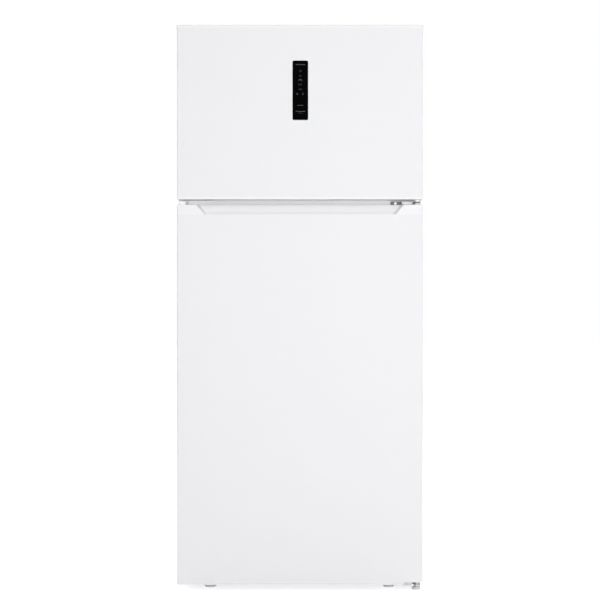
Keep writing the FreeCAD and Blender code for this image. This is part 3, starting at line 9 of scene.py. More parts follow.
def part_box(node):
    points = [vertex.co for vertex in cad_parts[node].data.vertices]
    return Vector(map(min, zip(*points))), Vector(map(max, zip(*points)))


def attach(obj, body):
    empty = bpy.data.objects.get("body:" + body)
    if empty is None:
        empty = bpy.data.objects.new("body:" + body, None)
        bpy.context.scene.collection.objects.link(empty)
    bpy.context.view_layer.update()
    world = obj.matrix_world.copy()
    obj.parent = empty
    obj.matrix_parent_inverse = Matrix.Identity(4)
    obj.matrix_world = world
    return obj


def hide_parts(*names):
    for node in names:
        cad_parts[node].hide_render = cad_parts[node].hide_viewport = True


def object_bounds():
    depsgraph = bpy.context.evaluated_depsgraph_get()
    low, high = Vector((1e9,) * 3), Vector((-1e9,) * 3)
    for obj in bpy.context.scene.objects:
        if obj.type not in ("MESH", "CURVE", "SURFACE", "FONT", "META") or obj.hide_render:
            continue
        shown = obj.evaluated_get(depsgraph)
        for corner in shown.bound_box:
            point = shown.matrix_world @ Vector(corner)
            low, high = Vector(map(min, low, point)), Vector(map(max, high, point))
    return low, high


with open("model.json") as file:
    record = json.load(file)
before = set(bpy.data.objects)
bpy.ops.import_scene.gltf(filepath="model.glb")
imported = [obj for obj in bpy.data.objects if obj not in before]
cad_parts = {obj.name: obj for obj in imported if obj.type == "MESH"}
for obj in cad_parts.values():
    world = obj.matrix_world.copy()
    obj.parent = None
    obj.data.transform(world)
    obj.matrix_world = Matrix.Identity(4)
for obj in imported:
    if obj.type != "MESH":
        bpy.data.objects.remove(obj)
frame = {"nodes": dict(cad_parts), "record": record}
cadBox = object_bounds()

mm = 0.001
print("frame loaded:", len(frame["nodes"]), "CAD nodes")


# small tools

def hexLinear(code):
    parts = [int(code[i:i + 2], 16) / 255 for i in (1, 3, 5)]
    return tuple(c / 12.92 if c <= 0.04045 else ((c + 0.055) / 1.055) ** 2.4 for c in parts) + (1.0,)


def addNode(tree, kind, links=None, values=None, **settings):
    node = tree.nodes.new(kind)
    for name, value in settings.items():
        setattr(node, name, value)
    for socket, value in (values or {}).items():
        node.inputs[socket].default_value = value
    for socket, source in (links or {}).items():
        tree.links.new(source, node.inputs[socket])
    return node


def clearSelection():
    if bpy.context.object and bpy.context.object.mode != "OBJECT":
        bpy.ops.object.mode_set(mode="OBJECT")
    bpy.ops.object.select_all(action="DESELECT")


def work(piece):
    clearSelection()
    piece.select_set(True)
    bpy.context.view_layer.objects.active = piece


def pickFaces(piece, test):
    # leaves edit mode on, with only the faces whose centre and normal pass the test selected
    work(piece)
    bpy.ops.object.mode_set(mode="EDIT")
    bpy.ops.mesh.select_mode(type="FACE")
    bpy.ops.mesh.select_all(action="DESELECT")
    shape = bmesh.from_edit_mesh(piece.data)
    for face in shape.faces:
        face.select_set(bool(test(face.calc_center_median(), face.normal)))
    bmesh.update_edit_mesh(piece.data)


def pickEdges(piece, test):
    work(piece)
    bpy.ops.object.mode_set(mode="EDIT")
    bpy.ops.mesh.select_mode(type="EDGE")
    bpy.ops.mesh.select_all(action="DESELECT")
    shape = bmesh.from_edit_mesh(piece.data)
    for edge in shape.edges:
        a, b = (v.co for v in edge.verts)
        edge.select_set(bool(test(a, b)))
    bmesh.update_edit_mesh(piece.data)


def leaveEdit():
    bpy.ops.object.mode_set(mode="OBJECT")


def settle(piece, name):
    # the object goes to the origin, its place into its mesh
    work(piece)
    bpy.ops.object.transform_apply(location=True, rotation=True, scale=True)
    piece.name = name
    piece.data.name = name
    return piece


def addBox(name, low, high, bevel=0.0, segments=3):
    clearSelection()
    size = [b - a for a, b in zip(low, high)]
    centre = [(a + b) / 2 for a, b in zip(low, high)]
    bpy.ops.mesh.primitive_cube_add(size=1, location=centre)
    piece = bpy.context.object
    piece.scale = size
    settle(piece, name)
    if bevel:
        soften(piece, bevel, segments)
    return piece


def addRod(name, radius, start, end, sides=32, bevel=0.0):
    clearSelection()
    start, end = Vector(start), Vector(end)
    length = (end - start).length
    bpy.ops.mesh.primitive_cylinder_add(vertices=sides, radius=radius, depth=length, location=(start + end) / 2)
    piece = bpy.context.object
    piece.rotation_mode = "QUATERNION"
    piece.rotation_quaternion = (end - start).to_track_quat("Z", "Y")
    settle(piece, name)
    if bevel:
        soften(piece, bevel, 2)
    return piece


def soften(piece, width, segments=3, angle=30):
    work(piece)
    bevel = piece.modifiers.new("Bevel", "BEVEL")
    bevel.width = width
    bevel.segments = segments
    bevel.limit_method = "ANGLE"
    bevel.angle_limit = math.radians(angle)
    bpy.ops.object.modifier_apply(modifier=bevel.name)
    bpy.ops.object.shade_smooth_by_angle(angle=math.radians(35))


def joinPieces(pieces, name):
    clearSelection()
    for piece in pieces:
        piece.select_set(True)
    bpy.context.view_layer.objects.active = pieces[0]
    if len(pieces) > 1:
        bpy.ops.object.join()
    joined = bpy.context.object
    joined.name = name
    joined.data.name = name
    return joined


def copyPiece(piece, offset, turn=0.0, axis="Z", about=(0, 0, 0)):
    twin = piece.copy()
    twin.data = piece.data.copy()
    bpy.context.scene.collection.objects.link(twin)
    about = Vector(about)
    spin = Matrix.Translation(about) @ Matrix.Rotation(turn, 4, axis) @ Matrix.Translation(-about)
    twin.data.transform(Matrix.Translation(Vector(offset)) @ spin)
    return twin


def dress(piece, material, body=None):
    piece.data.materials.clear()
    piece.data.materials.append(material)
    if body:
        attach(piece, body)
    return piece


# finishes

finish = {
    "powderCoat": {
        "color": "#e7e7e9", "roughness": 0.55, "specular": 0.12,
        "peelMm": 1.6, "peelDepthMm": 0.012, "waveMm": 260, "waveDepthMm": 0.25,
    },
    "capAbs": {"color": "#ebebed", "roughness": 0.5, "specular": 0.14, "grainMm": 0.9},
    # rail: the doors' painted steel in a brighter white, painted light that lifts the shade in the gap between the
    # doors
    "rail": {"color": "#fafafb", "roughness": 0.45, "specular": 0.85, "grainMm": 1.2},
    # polyamide: near-full white, painted light that lifts the hinge cover, bushes and plug out of the door gap's shade
    "polyamide": {"color": "#fdfdfd", "roughness": 0.4, "specular": 0.8, "grainMm": 1.0},
    "acrylic": {"color": "#050506", "deepColor": "#020203", "roughness": 0.02, "wipeMm": 1.5, "depthMm": 40},
    "liner": {"color": "#dfe2e4", "roughness": 0.35, "specular": 0.25, "grainMm": 4.0},
    "zinc": {"color": "#a9adb0", "roughness": 0.38, "spangleMm": 11.0},
    "foam": {"color": "#d9c48e", "cellColor": "#c2a970", "roughness": 0.9, "cellMm": 1.5, "cellDepthMm": 0.3},
    "seal": {"color": "#cfd0d1", "roughness": 0.55},
    "plated": {"color": "#d3d4d6", "roughness": 0.42, "metallic": 0.75},
    "glass": {"color": "#f4faf7", "edge": "#a9d8c4", "roughness": 0.02, "ior": 1.52, "clear": 0.95, "alpha": 0.6},
    "styrene": {"color": "#fbfdfe", "edge": "#e3eef5", "roughness": 0.05, "ior": 1.59, "clear": 0.8, "alpha": 0.38},
    "trim": {"color": "#e0e2e4", "roughness": 0.35, "specular": 0.3},
    "enamel": {"color": "#0b0b0c", "roughness": 0.35},
    # electrocoat: painted mid grey, far lighter than the black coat, as painted light that makes up for the gap's
    # shade
    "electrocoat": {"color": "#7a7a7d", "roughness": 0.45, "specular": 0.5},     # reads dark in the gap's shade
    "nylon": {"color": "#141415", "roughness": 0.55},
    "rubber": {"color": "#0f0f0f", "roughness": 0.8},
    "copper": {"color": "#b87450", "roughness": 0.28},
    "aluminium": {"color": "#c9cbcc", "roughness": 0.3},
    "footNylon": {"color": "#e4e4e5", "roughness": 0.5},
    "iceTray": {"color": "#cfe0ee", "roughness": 0.35},
    "opal": {"color": "#f5f4ee", "roughness": 0.3},
}


def newMaterial(name):
    material = bpy.data.materials.new(name)
    material.use_nodes = True
    tree = material.node_tree
    shader = tree.nodes["Principled BSDF"]
    place = addNode(tree, "ShaderNodeTexCoord").outputs["Object"]
    return material, tree, shader, place


def powderCoatedSteel(name="powder coated steel"):
    # electrostatic polyester powder: an even satin white with a fine orange peel, and the sheet's faint waviness
    f = finish["powderCoat"]
    material, tree, shader, place = newMaterial(name)
    peel = addNode(tree, "ShaderNodeTexNoise", {"Vector": place}, {"Scale": 1 / (f["peelMm"] * mm), "Detail": 2.0})
    wave = addNode(tree, "ShaderNodeTexNoise", {"Vector": place}, {"Scale": 1 / (f["waveMm"] * mm), "Detail": 0.0})
    waveBump = addNode(
        tree, "ShaderNodeBump", {"Height": wave.outputs["Fac"]},
        {"Strength": 0.5, "Distance": f["waveDepthMm"] * mm},
    )
    bump = addNode(
        tree, "ShaderNodeBump",
        {"Height": peel.outputs["Fac"], "Normal": waveBump.outputs["Normal"]},
        {"Strength": 0.6, "Distance": f["peelDepthMm"] * mm},
    )
    tone = addNode(tree, "ShaderNodeValToRGB", {"Fac": peel.outputs["Fac"]})
    base = hexLinear(f["color"])
    tone.color_ramp.elements[0].color = tuple(c * 0.985 for c in base[:3]) + (1,)
    tone.color_ramp.elements[1].color = base
    rough = addNode(
        tree, "ShaderNodeMapRange", {"Value": peel.outputs["Fac"]},
        {"To Min": f["roughness"] - 0.04, "To Max": f["roughness"] + 0.05},
    )
    tree.links.new(tone.outputs["Color"], shader.inputs["Base Color"])
    tree.links.new(rough.outputs["Result"], shader.inputs["Roughness"])
    tree.links.new(bump.outputs["Normal"], shader.inputs["Normal"])
    shader.inputs["IOR"].default_value = 1.5
    shader.inputs["Specular IOR Level"].default_value = f["specular"]
    return material


def mouldedPlastic(name, key, grainMm=1.2, depthMm=0.01, ior=1.5, tint=0.02):
    # injection moulded: even colour, a fine spark-eroded texture that breaks the gloss
    f = finish[key]
    material, tree, shader, place = newMaterial(name)
    grain = addNode(
        tree, "ShaderNodeTexNoise", {"Vector": place},
        {"Scale": 1 / (f.get("grainMm", grainMm) * mm), "Detail": 3.0, "Roughness": 0.6},
    )
    bump = addNode(
        tree, "ShaderNodeBump", {"Height": grain.outputs["Fac"]}, {"Strength": 0.5, "Distance": depthMm * mm},
    )
    tone = addNode(tree, "ShaderNodeValToRGB", {"Fac": grain.outputs["Fac"]})
    base = hexLinear(f["color"])
    tone.color_ramp.elements[0].color = tuple(c * (1 - tint) for c in base[:3]) + (1,)
    tone.color_ramp.elements[1].color = base
    rough = addNode(
        tree, "ShaderNodeMapRange", {"Value": grain.outputs["Fac"]},
        {"To Min": f["roughness"] * 0.85, "To Max": f["roughness"] * 1.15},
    )
    tree.links.new(tone.outputs["Color"], shader.inputs["Base Color"])
    tree.links.new(rough.outputs["Result"], shader.inputs["Roughness"])
    tree.links.new(bump.outputs["Normal"], shader.inputs["Normal"])
    shader.inputs["IOR"].default_value = ior
    shader.inputs["Specular IOR Level"].default_value = f.get("specular", 0.5)
    return material


def blackAcrylic():
    # cast acrylic, back painted: near black with a hard clear gloss and a few hairline wipes
    f = finish["acrylic"]
    material, tree, shader, place = newMaterial("back painted acrylic")
    stretch = addNode(tree, "ShaderNodeMapping", {"Vector": place}, {"Scale": (1, 1, 0.05)})
    wipe = addNode(
        tree, "ShaderNodeTexNoise", {"Vector": stretch.outputs["Vector"]},
        {"Scale": 1 / (f["wipeMm"] * mm), "Detail": 4.0},
    )
    rough = addNode(
        tree, "ShaderNodeMapRange", {"Value": wipe.outputs["Fac"]},
        {"From Min": 0.4, "From Max": 0.8, "To Min": f["roughness"], "To Max": f["roughness"] + 0.03},
    )
    depth = addNode(tree, "ShaderNodeTexNoise", {"Vector": place}, {"Scale": 1 / (f["depthMm"] * mm)})
    tone = addNode(tree, "ShaderNodeValToRGB", {"Fac": depth.outputs["Fac"]})
    tone.color_ramp.elements[0].color = hexLinear(f["deepColor"])
    tone.color_ramp.elements[1].color = hexLinear(f["color"])
    tree.links.new(tone.outputs["Color"], shader.inputs["Base Color"])
    tree.links.new(rough.outputs["Result"], shader.inputs["Roughness"])
    shader.inputs["IOR"].default_value = 1.49
    return material


def galvanisedSheet(name="hot dip galvanised sheet"):
    # zinc crystals: angular spangles of slightly different greys and gloss
    f = finish["zinc"]
    material, tree, shader, place = newMaterial(name)
    spangle = addNode(
        tree, "ShaderNodeTexVoronoi", {"Vector": place},
        {"Scale": 1 / (f["spangleMm"] * mm), "Randomness": 1.0},
    )
    shade = addNode(tree, "ShaderNodeSeparateColor", {"Color": spangle.outputs["Color"]})
    tone = addNode(tree, "ShaderNodeValToRGB", {"Fac": shade.outputs["Red"]})
    base = hexLinear(f["color"])
    tone.color_ramp.elements[0].color = tuple(c * 0.82 for c in base[:3]) + (1,)
    tone.color_ramp.elements[1].color = tuple(min(1, c * 1.08) for c in base[:3]) + (1,)
    rough = addNode(
        tree, "ShaderNodeMapRange", {"Value": shade.outputs["Green"]},
        {"To Min": f["roughness"] - 0.08, "To Max": f["roughness"] + 0.12},
    )
    tree.links.new(tone.outputs["Color"], shader.inputs["Base Color"])
    tree.links.new(rough.outputs["Result"], shader.inputs["Roughness"])
    shader.inputs["Metallic"].default_value = 0.9
    return material


def bareMetal(name, key, grainMm=0.5, stretch=(1, 1, 1)):
    # rolled or plated metal: fine directional grain in the gloss
    f = finish[key]
    material, tree, shader, place = newMaterial(name)
    along = addNode(tree, "ShaderNodeMapping", {"Vector": place}, {"Scale": stretch})
    grain = addNode(
        tree, "ShaderNodeTexNoise", {"Vector": along.outputs["Vector"]},
        {"Scale": 1 / (grainMm * mm), "Detail": 3.0},
    )
    tone = addNode(tree, "ShaderNodeValToRGB", {"Fac": grain.outputs["Fac"]})
    base = hexLinear(f["color"])
    tone.color_ramp.elements[0].color = tuple(c * 0.85 for c in base[:3]) + (1,)
    tone.color_ramp.elements[1].color = base
    rough = addNode(
        tree, "ShaderNodeMapRange", {"Value": grain.outputs["Fac"]},
        {"To Min": f["roughness"] - 0.08, "To Max": f["roughness"] + 0.12},
    )
    bump = addNode(tree, "ShaderNodeBump", {"Height": grain.outputs["Fac"]}, {"Strength": 0.3, "Distance": 0.01 * mm})
    tree.links.new(tone.outputs["Color"], shader.inputs["Base Color"])
    tree.links.new(rough.outputs["Result"], shader.inputs["Roughness"])
    tree.links.new(bump.outputs["Normal"], shader.inputs["Normal"])
    shader.inputs["Metallic"].default_value = f.get("metallic", 1.0)
    return material


def clearPane(name, key):
    # clear sheet: mostly transmission, a green or blue cast where the light runs along the sheet
    f = finish[key]
    material, tree, shader, place = newMaterial(name)
    dust = addNode(tree, "ShaderNodeTexNoise", {"Vector": place}, {"Scale": 1 / (30 * mm), "Detail": 2.0})
    rough = addNode(
        tree, "ShaderNodeMapRange", {"Value": dust.outputs["Fac"]},
        {"To Min": f["roughness"], "To Max": f["roughness"] + 0.05},
    )
    rim = addNode(tree, "ShaderNodeLayerWeight", None, {"Blend": 0.25})
    tone = addNode(tree, "ShaderNodeValToRGB", {"Fac": rim.outputs["Facing"]})
    tone.color_ramp.elements[0].color = hexLinear(f["color"])
    tone.color_ramp.elements[1].color = hexLinear(f["edge"])
    tree.links.new(tone.outputs["Color"], shader.inputs["Base Color"])
    tree.links.new(rough.outputs["Result"], shader.inputs["Roughness"])
    shader.inputs["IOR"].default_value = f["ior"]
    shader.inputs["Transmission Weight"].default_value = f["clear"]
    shader.inputs["Alpha"].default_value = f["alpha"]       # lets plain light through to what lies behind
    return material


def polyurethaneFoam():
    # blown foam: matt straw colour with open cells
    f = finish["foam"]
    material, tree, shader, place = newMaterial("rigid polyurethane foam")
    cells = addNode(tree, "ShaderNodeTexVoronoi", {"Vector": place}, {"Scale": 1 / (f["cellMm"] * mm)})
    tone = addNode(tree, "ShaderNodeValToRGB", {"Fac": cells.outputs["Distance"]})
    tone.color_ramp.elements[0].color = hexLinear(f["cellColor"])
    tone.color_ramp.elements[1].color = hexLinear(f["color"])
    bump = addNode(
        tree, "ShaderNodeBump", {"Height": cells.outputs["Distance"]},
        {"Strength": 0.6, "Distance": f["cellDepthMm"] * mm},
    )
    tree.links.new(tone.outputs["Color"], shader.inputs["Base Color"])
    tree.links.new(bump.outputs["Normal"], shader.inputs["Normal"])
    shader.inputs["Roughness"].default_value = f["roughness"]
    return material


def opalDiffuser():
    # opal polycarbonate over lamps: milky, a weak glow
    material = mouldedPlastic("opal polycarbonate", "opal", 2.0, 0.02)
    shader = material.node_tree.nodes["Principled BSDF"]
    shader.inputs["Emission Color"].default_value = hexLinear("#fffaf0")
    shader.inputs["Emission Strength"].default_value = 0.6
    return material


steelWhite = powderCoatedSteel()
capWhite = mouldedPlastic("injection moulded ABS", "capAbs")
linerWhite = mouldedPlastic("vacuum formed polystyrene", "liner", 4.0, 0.02, 1.59, 0.01)
trimWhite = mouldedPlastic("moulded polystyrene trim", "trim")
# the mullion rail's near-full white is painted light for the shaded gap between the doors
railWhitePaintedLight = mouldedPlastic("white painted steel, painted brighter", "rail")
# a whiter copy of the moulded white, painted light for the parts sitting in the door gap's shade
polyamideWhitePaintedLight = mouldedPlastic("moulded white polyamide", "polyamide")
sealGrey = mouldedPlastic("extruded soft PVC", "seal", 0.8, 0.01, 1.53, 0.04)
zincSheet = galvanisedSheet()
platedSteel = bareMetal("zinc plated pressed steel", "plated", 0.8)
copperTube = bareMetal("drawn copper tube", "copper", 0.6)
rolledAluminium = bareMetal("rolled aluminium fin stock", "aluminium", 0.4)
floatGlass = clearPane("toughened float glass", "glass")
clearStyrene = clearPane("clear polystyrene", "styrene")
blackEnamel = mouldedPlastic("black enamelled steel", "enamel", 1.4, 0.015, 1.5, 0.2)
# the black coat is coloured mid grey: painted light against the shade in the door gap
blackCoatPaintedGrey = mouldedPlastic("black electrocoated steel", "electrocoat", 1.0, 0.01, 1.5, 0.2)
blackNylon = mouldedPlastic("glass filled nylon", "nylon", 0.7, 0.02, 1.53, 0.2)
blackRubber = mouldedPlastic("moulded nitrile rubber", "rubber", 0.6, 0.02, 1.5, 0.25)
footNylon = mouldedPlastic("grey polypropylene", "footNylon", 0.8)
iceBlue = mouldedPlastic("flexible polypropylene", "iceTray", 1.0)
foamStraw = polyurethaneFoam()
windowBlack = blackAcrylic()
opal = opalDiffuser()
print("materials made:", len(bpy.data.materials))

slotFinish = {
    "door_steel": steelWhite, "cabinet_steel": steelWhite, "zinc_steel": zincSheet, "cap_plastic": capWhite,
    "panel_glass": windowBlack, "liner_plastic": linerWhite, "foam": foamStraw, "seal_rubber": sealGrey,
    "hinge_steel": platedSteel, "bracket_black": blackCoatPaintedGrey, "shelf_glass": floatGlass, "trim_plastic": trimWhite,
    "clear_plastic": clearStyrene, "ice_tray_plastic": iceBlue, "lamp_diffuser": opal,
    "compressor_steel": blackEnamel, "black_rubber": blackRubber, "black_plastic": blackNylon,
    "copper_pipe": copperTube, "condenser_steel": blackEnamel, "evaporator_aluminium": rolledAluminium,
    "foot_plastic": footNylon,
}
for entry in frame["record"]["subparts"]:
    node = frame["nodes"][entry["node"]]
    node.data.materials.clear()
    node.data.materials.append(slotFinish[entry["material_slot"]])
# the rail takes a whiter copy of the doors' paint: painted light against the gap's shade
frame["nodes"]["mullion_rail"].data.materials[0] = railWhitePaintedLight
# the parts in the door gap take a whiter white than the ABS caps: painted light against the gap's shade
for name in ("middle_hinge_cover", "hinge_bushes", "hinge_hole_plug"):
    frame["nodes"][name].data.materials[0] = polyamideWhitePaintedLight


# control window: an acrylic lens on its body, with printed symbols half sunk in the lens's face

windowSet = {
    "faceBack": 0.12 * mm,      # the lens's face is this far behind the CAD window's
    "lensThick": 0.6 * mm,
    "lensOverlap": 0.05 * mm,   # lens and body share this much
    "lensSpread": 1.2 * mm,     # how far the lens goes past the CAD window on each side, before its shift
    "lensShift": 1.0 * mm,      # to the right
    "corner": 4.0 * mm,
    "edge": 0.2 * mm,
    "symbolColor": "#34363a", "symbolGlow": 0.15,
    "dimColor": "#1b1c1f", "dimGlow": 0.05,
    "inkThick": 0.09 * mm,      # half of it lies in the lens
}


def symbolInk(name, color, strength):
    # printed grey ink with the faint glow of a lamp behind it
    material, tree, shader, place = newMaterial(name)
    speck = addNode(tree, "ShaderNodeTexNoise", {"Vector": place}, {"Scale": 1 / (0.4 * mm)})
    tone = addNode(tree, "ShaderNodeValToRGB", {"Fac": speck.outputs["Fac"]})
    tone.color_ramp.elements[0].color = tuple(c * 0.9 for c in hexLinear(color)[:3]) + (1,)
    tone.color_ramp.elements[1].color = hexLinear(color)
    tree.links.new(tone.outputs["Color"], shader.inputs["Base Color"])
    shader.inputs["Roughness"].default_value = 0.5
    shader.inputs["Emission Color"].default_value = hexLinear(color)
    shader.inputs["Emission Strength"].default_value = strength
    return material


def controlWindow():
    # a thin lens that laps over the cut steel, on the thicker body that fills the opening
    low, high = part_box("control_panel")
    face = low.y + windowSet["faceBack"]
    back = face + windowSet["lensThick"]
    spread, shift = windowSet["lensSpread"], windowSet["lensShift"]
    lens = addBox(
        "lens", (low.x - spread + shift, face, low.z - spread), (high.x + spread + shift, back, high.z + spread),
    )
    body = addBox("body", (low.x, back - windowSet["lensOverlap"], low.z), high)
    for piece in (lens, body):
        pickEdges(piece, lambda a, b: abs(a.x - b.x) < 1e-6 and abs(a.z - b.z) < 1e-6)
        bpy.ops.mesh.bevel(offset=windowSet["corner"], segments=6)
        leaveEdit()
    pickFaces(lens, lambda c, n: n.y < -0.9)
    bpy.ops.mesh.inset(thickness=3 * windowSet["edge"])     # keeps the broad face's shading flat
    leaveEdit()
    soften(lens, windowSet["edge"], 2, 60)
    pane = joinPieces([lens, body], "controlWindow")
    dress(pane, windowBlack, "freezer_door")
    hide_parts("control_panel")
    return low, high, face


def controlSymbols(low, high, face):
    centre = (low.x + high.x) / 2 + windowSet["lensShift"]
    top = high.z
    bright, dim = [], []
    thick = windowSet["inkThick"]

    def bar(x, drop, width, height, turn=0.0):
        piece = addBox("mark", (centre + x - width / 2, face - thick, top - drop - height / 2),
                       (centre + x + width / 2, face + thick, top - drop + height / 2))
        if turn:
            spot = Vector((centre + x, face, top - drop))
            spin = Matrix.Translation(spot) @ Matrix.Rotation(math.radians(turn), 4, "Y") @ Matrix.Translation(-spot)
            piece.data.transform(spin)
        return piece

    def ring(x, drop, radius, wall):
        clearSelection()
        bpy.ops.mesh.primitive_circle_add(vertices=28, radius=radius, fill_type="NGON", location=(0, 0, 0))
        piece = bpy.context.object
        pickFaces(piece, lambda c, n: True)
        bpy.ops.mesh.inset(thickness=wall)
        bpy.ops.mesh.delete(type="FACE")
        bpy.ops.mesh.select_all(action="SELECT")
        bpy.ops.mesh.extrude_region_move(TRANSFORM_OT_translate={"value": (0, 0, 2 * thick)})
        leaveEdit()
        piece.rotation_euler = (math.radians(90), 0, 0)
        piece.location = (centre + x, face + thick, top - drop)
        return settle(piece, "mark")

    # a row of five dashes where the top line is
    for k in range(5):
        bright.append(bar((k - 2) * 5.6 * mm, 11 * mm, 4.4 * mm, 2.6 * mm))
    # snowflake
    for turn in (0, 60, 120):
        dim.append(bar(0, 30.5 * mm, 7.5 * mm, 0.9 * mm, turn))
    # two level bars
    for k, width in enumerate((5.0, 8.0)):
        dim.append(bar(0, (43 + 2.8 * k) * mm, width * mm, 1.1 * mm))
    # a bright roof over a dot
    bright.append(bar(-2.6 * mm, 57 * mm, 7.4 * mm, 2.0 * mm, -38))
    bright.append(bar(2.6 * mm, 57 * mm, 7.4 * mm, 2.0 * mm, 38))
    dim.append(ring(0, 60.5 * mm, 1.4 * mm, 0.6 * mm))
    # a pair of drops, drawn as two small rings
    for side in (-1, 1):
        dim.append(ring(side * 3.0 * mm, 71.5 * mm, 2.2 * mm, 0.8 * mm))
    # fan: a ring with a bar on both sides
    dim.append(ring(0, 86 * mm, 2.6 * mm, 0.8 * mm))
    for side in (-1, 1):
        dim.append(bar(side * 5.0 * mm, 86 * mm, 2.6 * mm, 1.0 * mm))
    # two keys side by side
    for k in range(2):
        bright.append(bar(-9.4 * mm, (98.6 + 3.0 * k) * mm, 5.0 * mm, 1.4 * mm))
    dim.append(ring(8.4 * mm, 100 * mm, 2.8 * mm, 1.0 * mm))
    # dashes and lines near the foot
    for k in range(3):
        bright.append(bar((k - 1) * 6.6 * mm, 134.5 * mm, 5.0 * mm, 2.0 * mm))
    bright.append(bar(0, 153 * mm, 28 * mm, 1.9 * mm))
    dim.append(bar(0, 158.5 * mm, 12 * mm, 1.2 * mm))
    lit = symbolInk("printed symbol, lit", windowSet["symbolColor"], windowSet["symbolGlow"])
    unlit = symbolInk("printed symbol, unlit", windowSet["dimColor"], windowSet["dimGlow"])
    dress(joinPieces(bright, "windowSymbolsBright"), lit, "freezer_door")
    dress(joinPieces(dim, "windowSymbolsDim"), unlit, "freezer_door")


windowLow, windowHigh, windowFace = controlWindow()
controlSymbols(windowLow, windowHigh, windowFace)
print("control window made")


# door seals: a soft extrusion with a foot, a bellows and a magnet pocket

sealSet = {
    "width": 14 * mm, "foot": 2.6 * mm, "waist": 4.2 * mm, "waistPinch": 3.0 * mm,
    "lip": 0.8 * mm, "round": 1.1 * mm, "overlap": 0.3 * mm,
}


def sealBand(outer, width, inset, y0, y1):
    # a rectangular band: outer is (x0, x1, z0, z1), drawn as a flat sheet and pulled to its thickness
    x0, x1, z0, z1 = outer
    clearSelection()
    bpy.ops.mesh.primitive_plane_add(size=1, location=(0, 0, 0))
    band = bpy.context.object
    band.rotation_euler = (math.radians(90), 0, 0)
    band.scale = (x1 - x0 - 2 * inset, z1 - z0 - 2 * inset, 1)
    band.location = ((x0 + x1) / 2, y0, (z0 + z1) / 2)
    settle(band, "band")
    pickFaces(band, lambda c, n: True)
    bpy.ops.mesh.inset(thickness=width - 2 * inset)
    bpy.ops.mesh.delete(type="FACE")
    bpy.ops.mesh.select_all(action="SELECT")
    bpy.ops.mesh.extrude_region_move(TRANSFORM_OT_translate={"value": (0, y1 - y0, 0)})
    bpy.ops.mesh.select_all(action="SELECT")
    bpy.ops.mesh.normals_make_consistent(inside=False)
    leaveEdit()
    return band


def doorSeal(node, name, body):
    low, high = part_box(node)
    outer = (low.x, high.x, low.z, high.z)
    width, overlap = sealSet["width"], sealSet["overlap"]
    footEnd = low.y + sealSet["foot"]
    waistEnd = footEnd + sealSet["waist"]
    foot = sealBand(outer, width, 0.0, low.y, footEnd)
    waist = sealBand(outer, width, sealSet["waistPinch"], footEnd - overlap, waistEnd)
    pocket = sealBand(outer, width, sealSet["lip"], waistEnd - overlap, high.y)
    for band in (foot, waist, pocket):
        soften(band, sealSet["round"], 3)
    seal = joinPieces([foot, waist, pocket], name)
    dress(seal, sealGrey, body)
    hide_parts(node)


doorSeal("freezer_door_gasket", "freezerDoorSeal", "freezer_door")
doorSeal("fridge_door_gasket", "fridgeDoorSeal", "fridge_door")
print("door seals made")


# back: pressed sheet with its rim screws

backSet = {
    "rim": 26 * mm, "raise": 1.5 * mm, "slope": 5 * mm, "bend": 1.2 * mm,
    "ribs": 4, "ribHeight": 26 * mm, "ribSlope": 5 * mm, "ribDepth": 0.8,      # the depth is a share of the raise
    "screwPitch": 150 * mm, "screwMargin": 10 * mm, "screwsAcross": 4,
}


def backSheet():
    low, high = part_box("back_panel")
    clearSelection()
    bpy.ops.mesh.primitive_plane_add(size=1, location=(0, 0, 0))
    sheet = bpy.context.object
    sheet.rotation_euler = (math.radians(-90), 0, 0)
    sheet.scale = (high.x - low.x, high.z - low.z, 1)
    sheet.location = ((low.x + high.x) / 2, high.y, (low.z + high.z) / 2)
    settle(sheet, "backSheet")
    pickFaces(sheet, lambda c, n: True)
    bpy.ops.mesh.inset(thickness=backSet["rim"])
    bpy.ops.mesh.inset(thickness=backSet["slope"])
    bpy.ops.transform.translate(value=(0, backSet["raise"], 0))
    leaveEdit()
    # long beads pressed back in across the raised field
    field = (low.x + backSet["rim"] + backSet["slope"], high.x - backSet["rim"] - backSet["slope"])
    bottom, top = low.z + backSet["rim"] + backSet["slope"], high.z - backSet["rim"] - backSet["slope"]
    step = (top - bottom) / (backSet["ribs"] + 1)
    for k in range(backSet["ribs"]):
        for edge in (-1, 1):
            z = bottom + (k + 1) * step + edge * backSet["ribHeight"] / 2
            pickFaces(sheet, lambda c, n: field[0] < c.x < field[1] and bottom < c.z < top)
            bpy.ops.mesh.bisect(plane_co=(0, 0, z), plane_no=(0, 0, 1))
            leaveEdit()
        middle = bottom + (k + 1) * step
        pickFaces(sheet, lambda c, n: abs(c.z - middle) < 2 * mm and field[0] < c.x < field[1])
        bpy.ops.mesh.inset(thickness=backSet["ribSlope"])
        bpy.ops.transform.translate(value=(0, -backSet["raise"] * backSet["ribDepth"], 0))
        leaveEdit()
    soften(sheet, backSet["bend"], 2, 8)
    return sheet, low, high


def hexScrew():
    washer = addRod("washer", 5.2 * mm, (0, 0, 0), (0, 0.9 * mm, 0), 28, 0.2 * mm)
    head = addRod("head", 3.9 * mm, (0, 0.8 * mm, 0), (0, 3.2 * mm, 0), 6, 0.35 * mm)
    slot = addBox("slot", (-0.5 * mm, 2.6 * mm, -3 * mm), (0.5 * mm, 3.4 * mm, 3 * mm))
    work(head)
    cutter = head.modifiers.new("Slot", "BOOLEAN")
    cutter.object = slot
    cutter.solver = "EXACT"
    bpy.ops.object.modifier_apply(modifier=cutter.name)
    bpy.data.objects.remove(slot)
    return joinPieces([washer, head], "hexScrew")


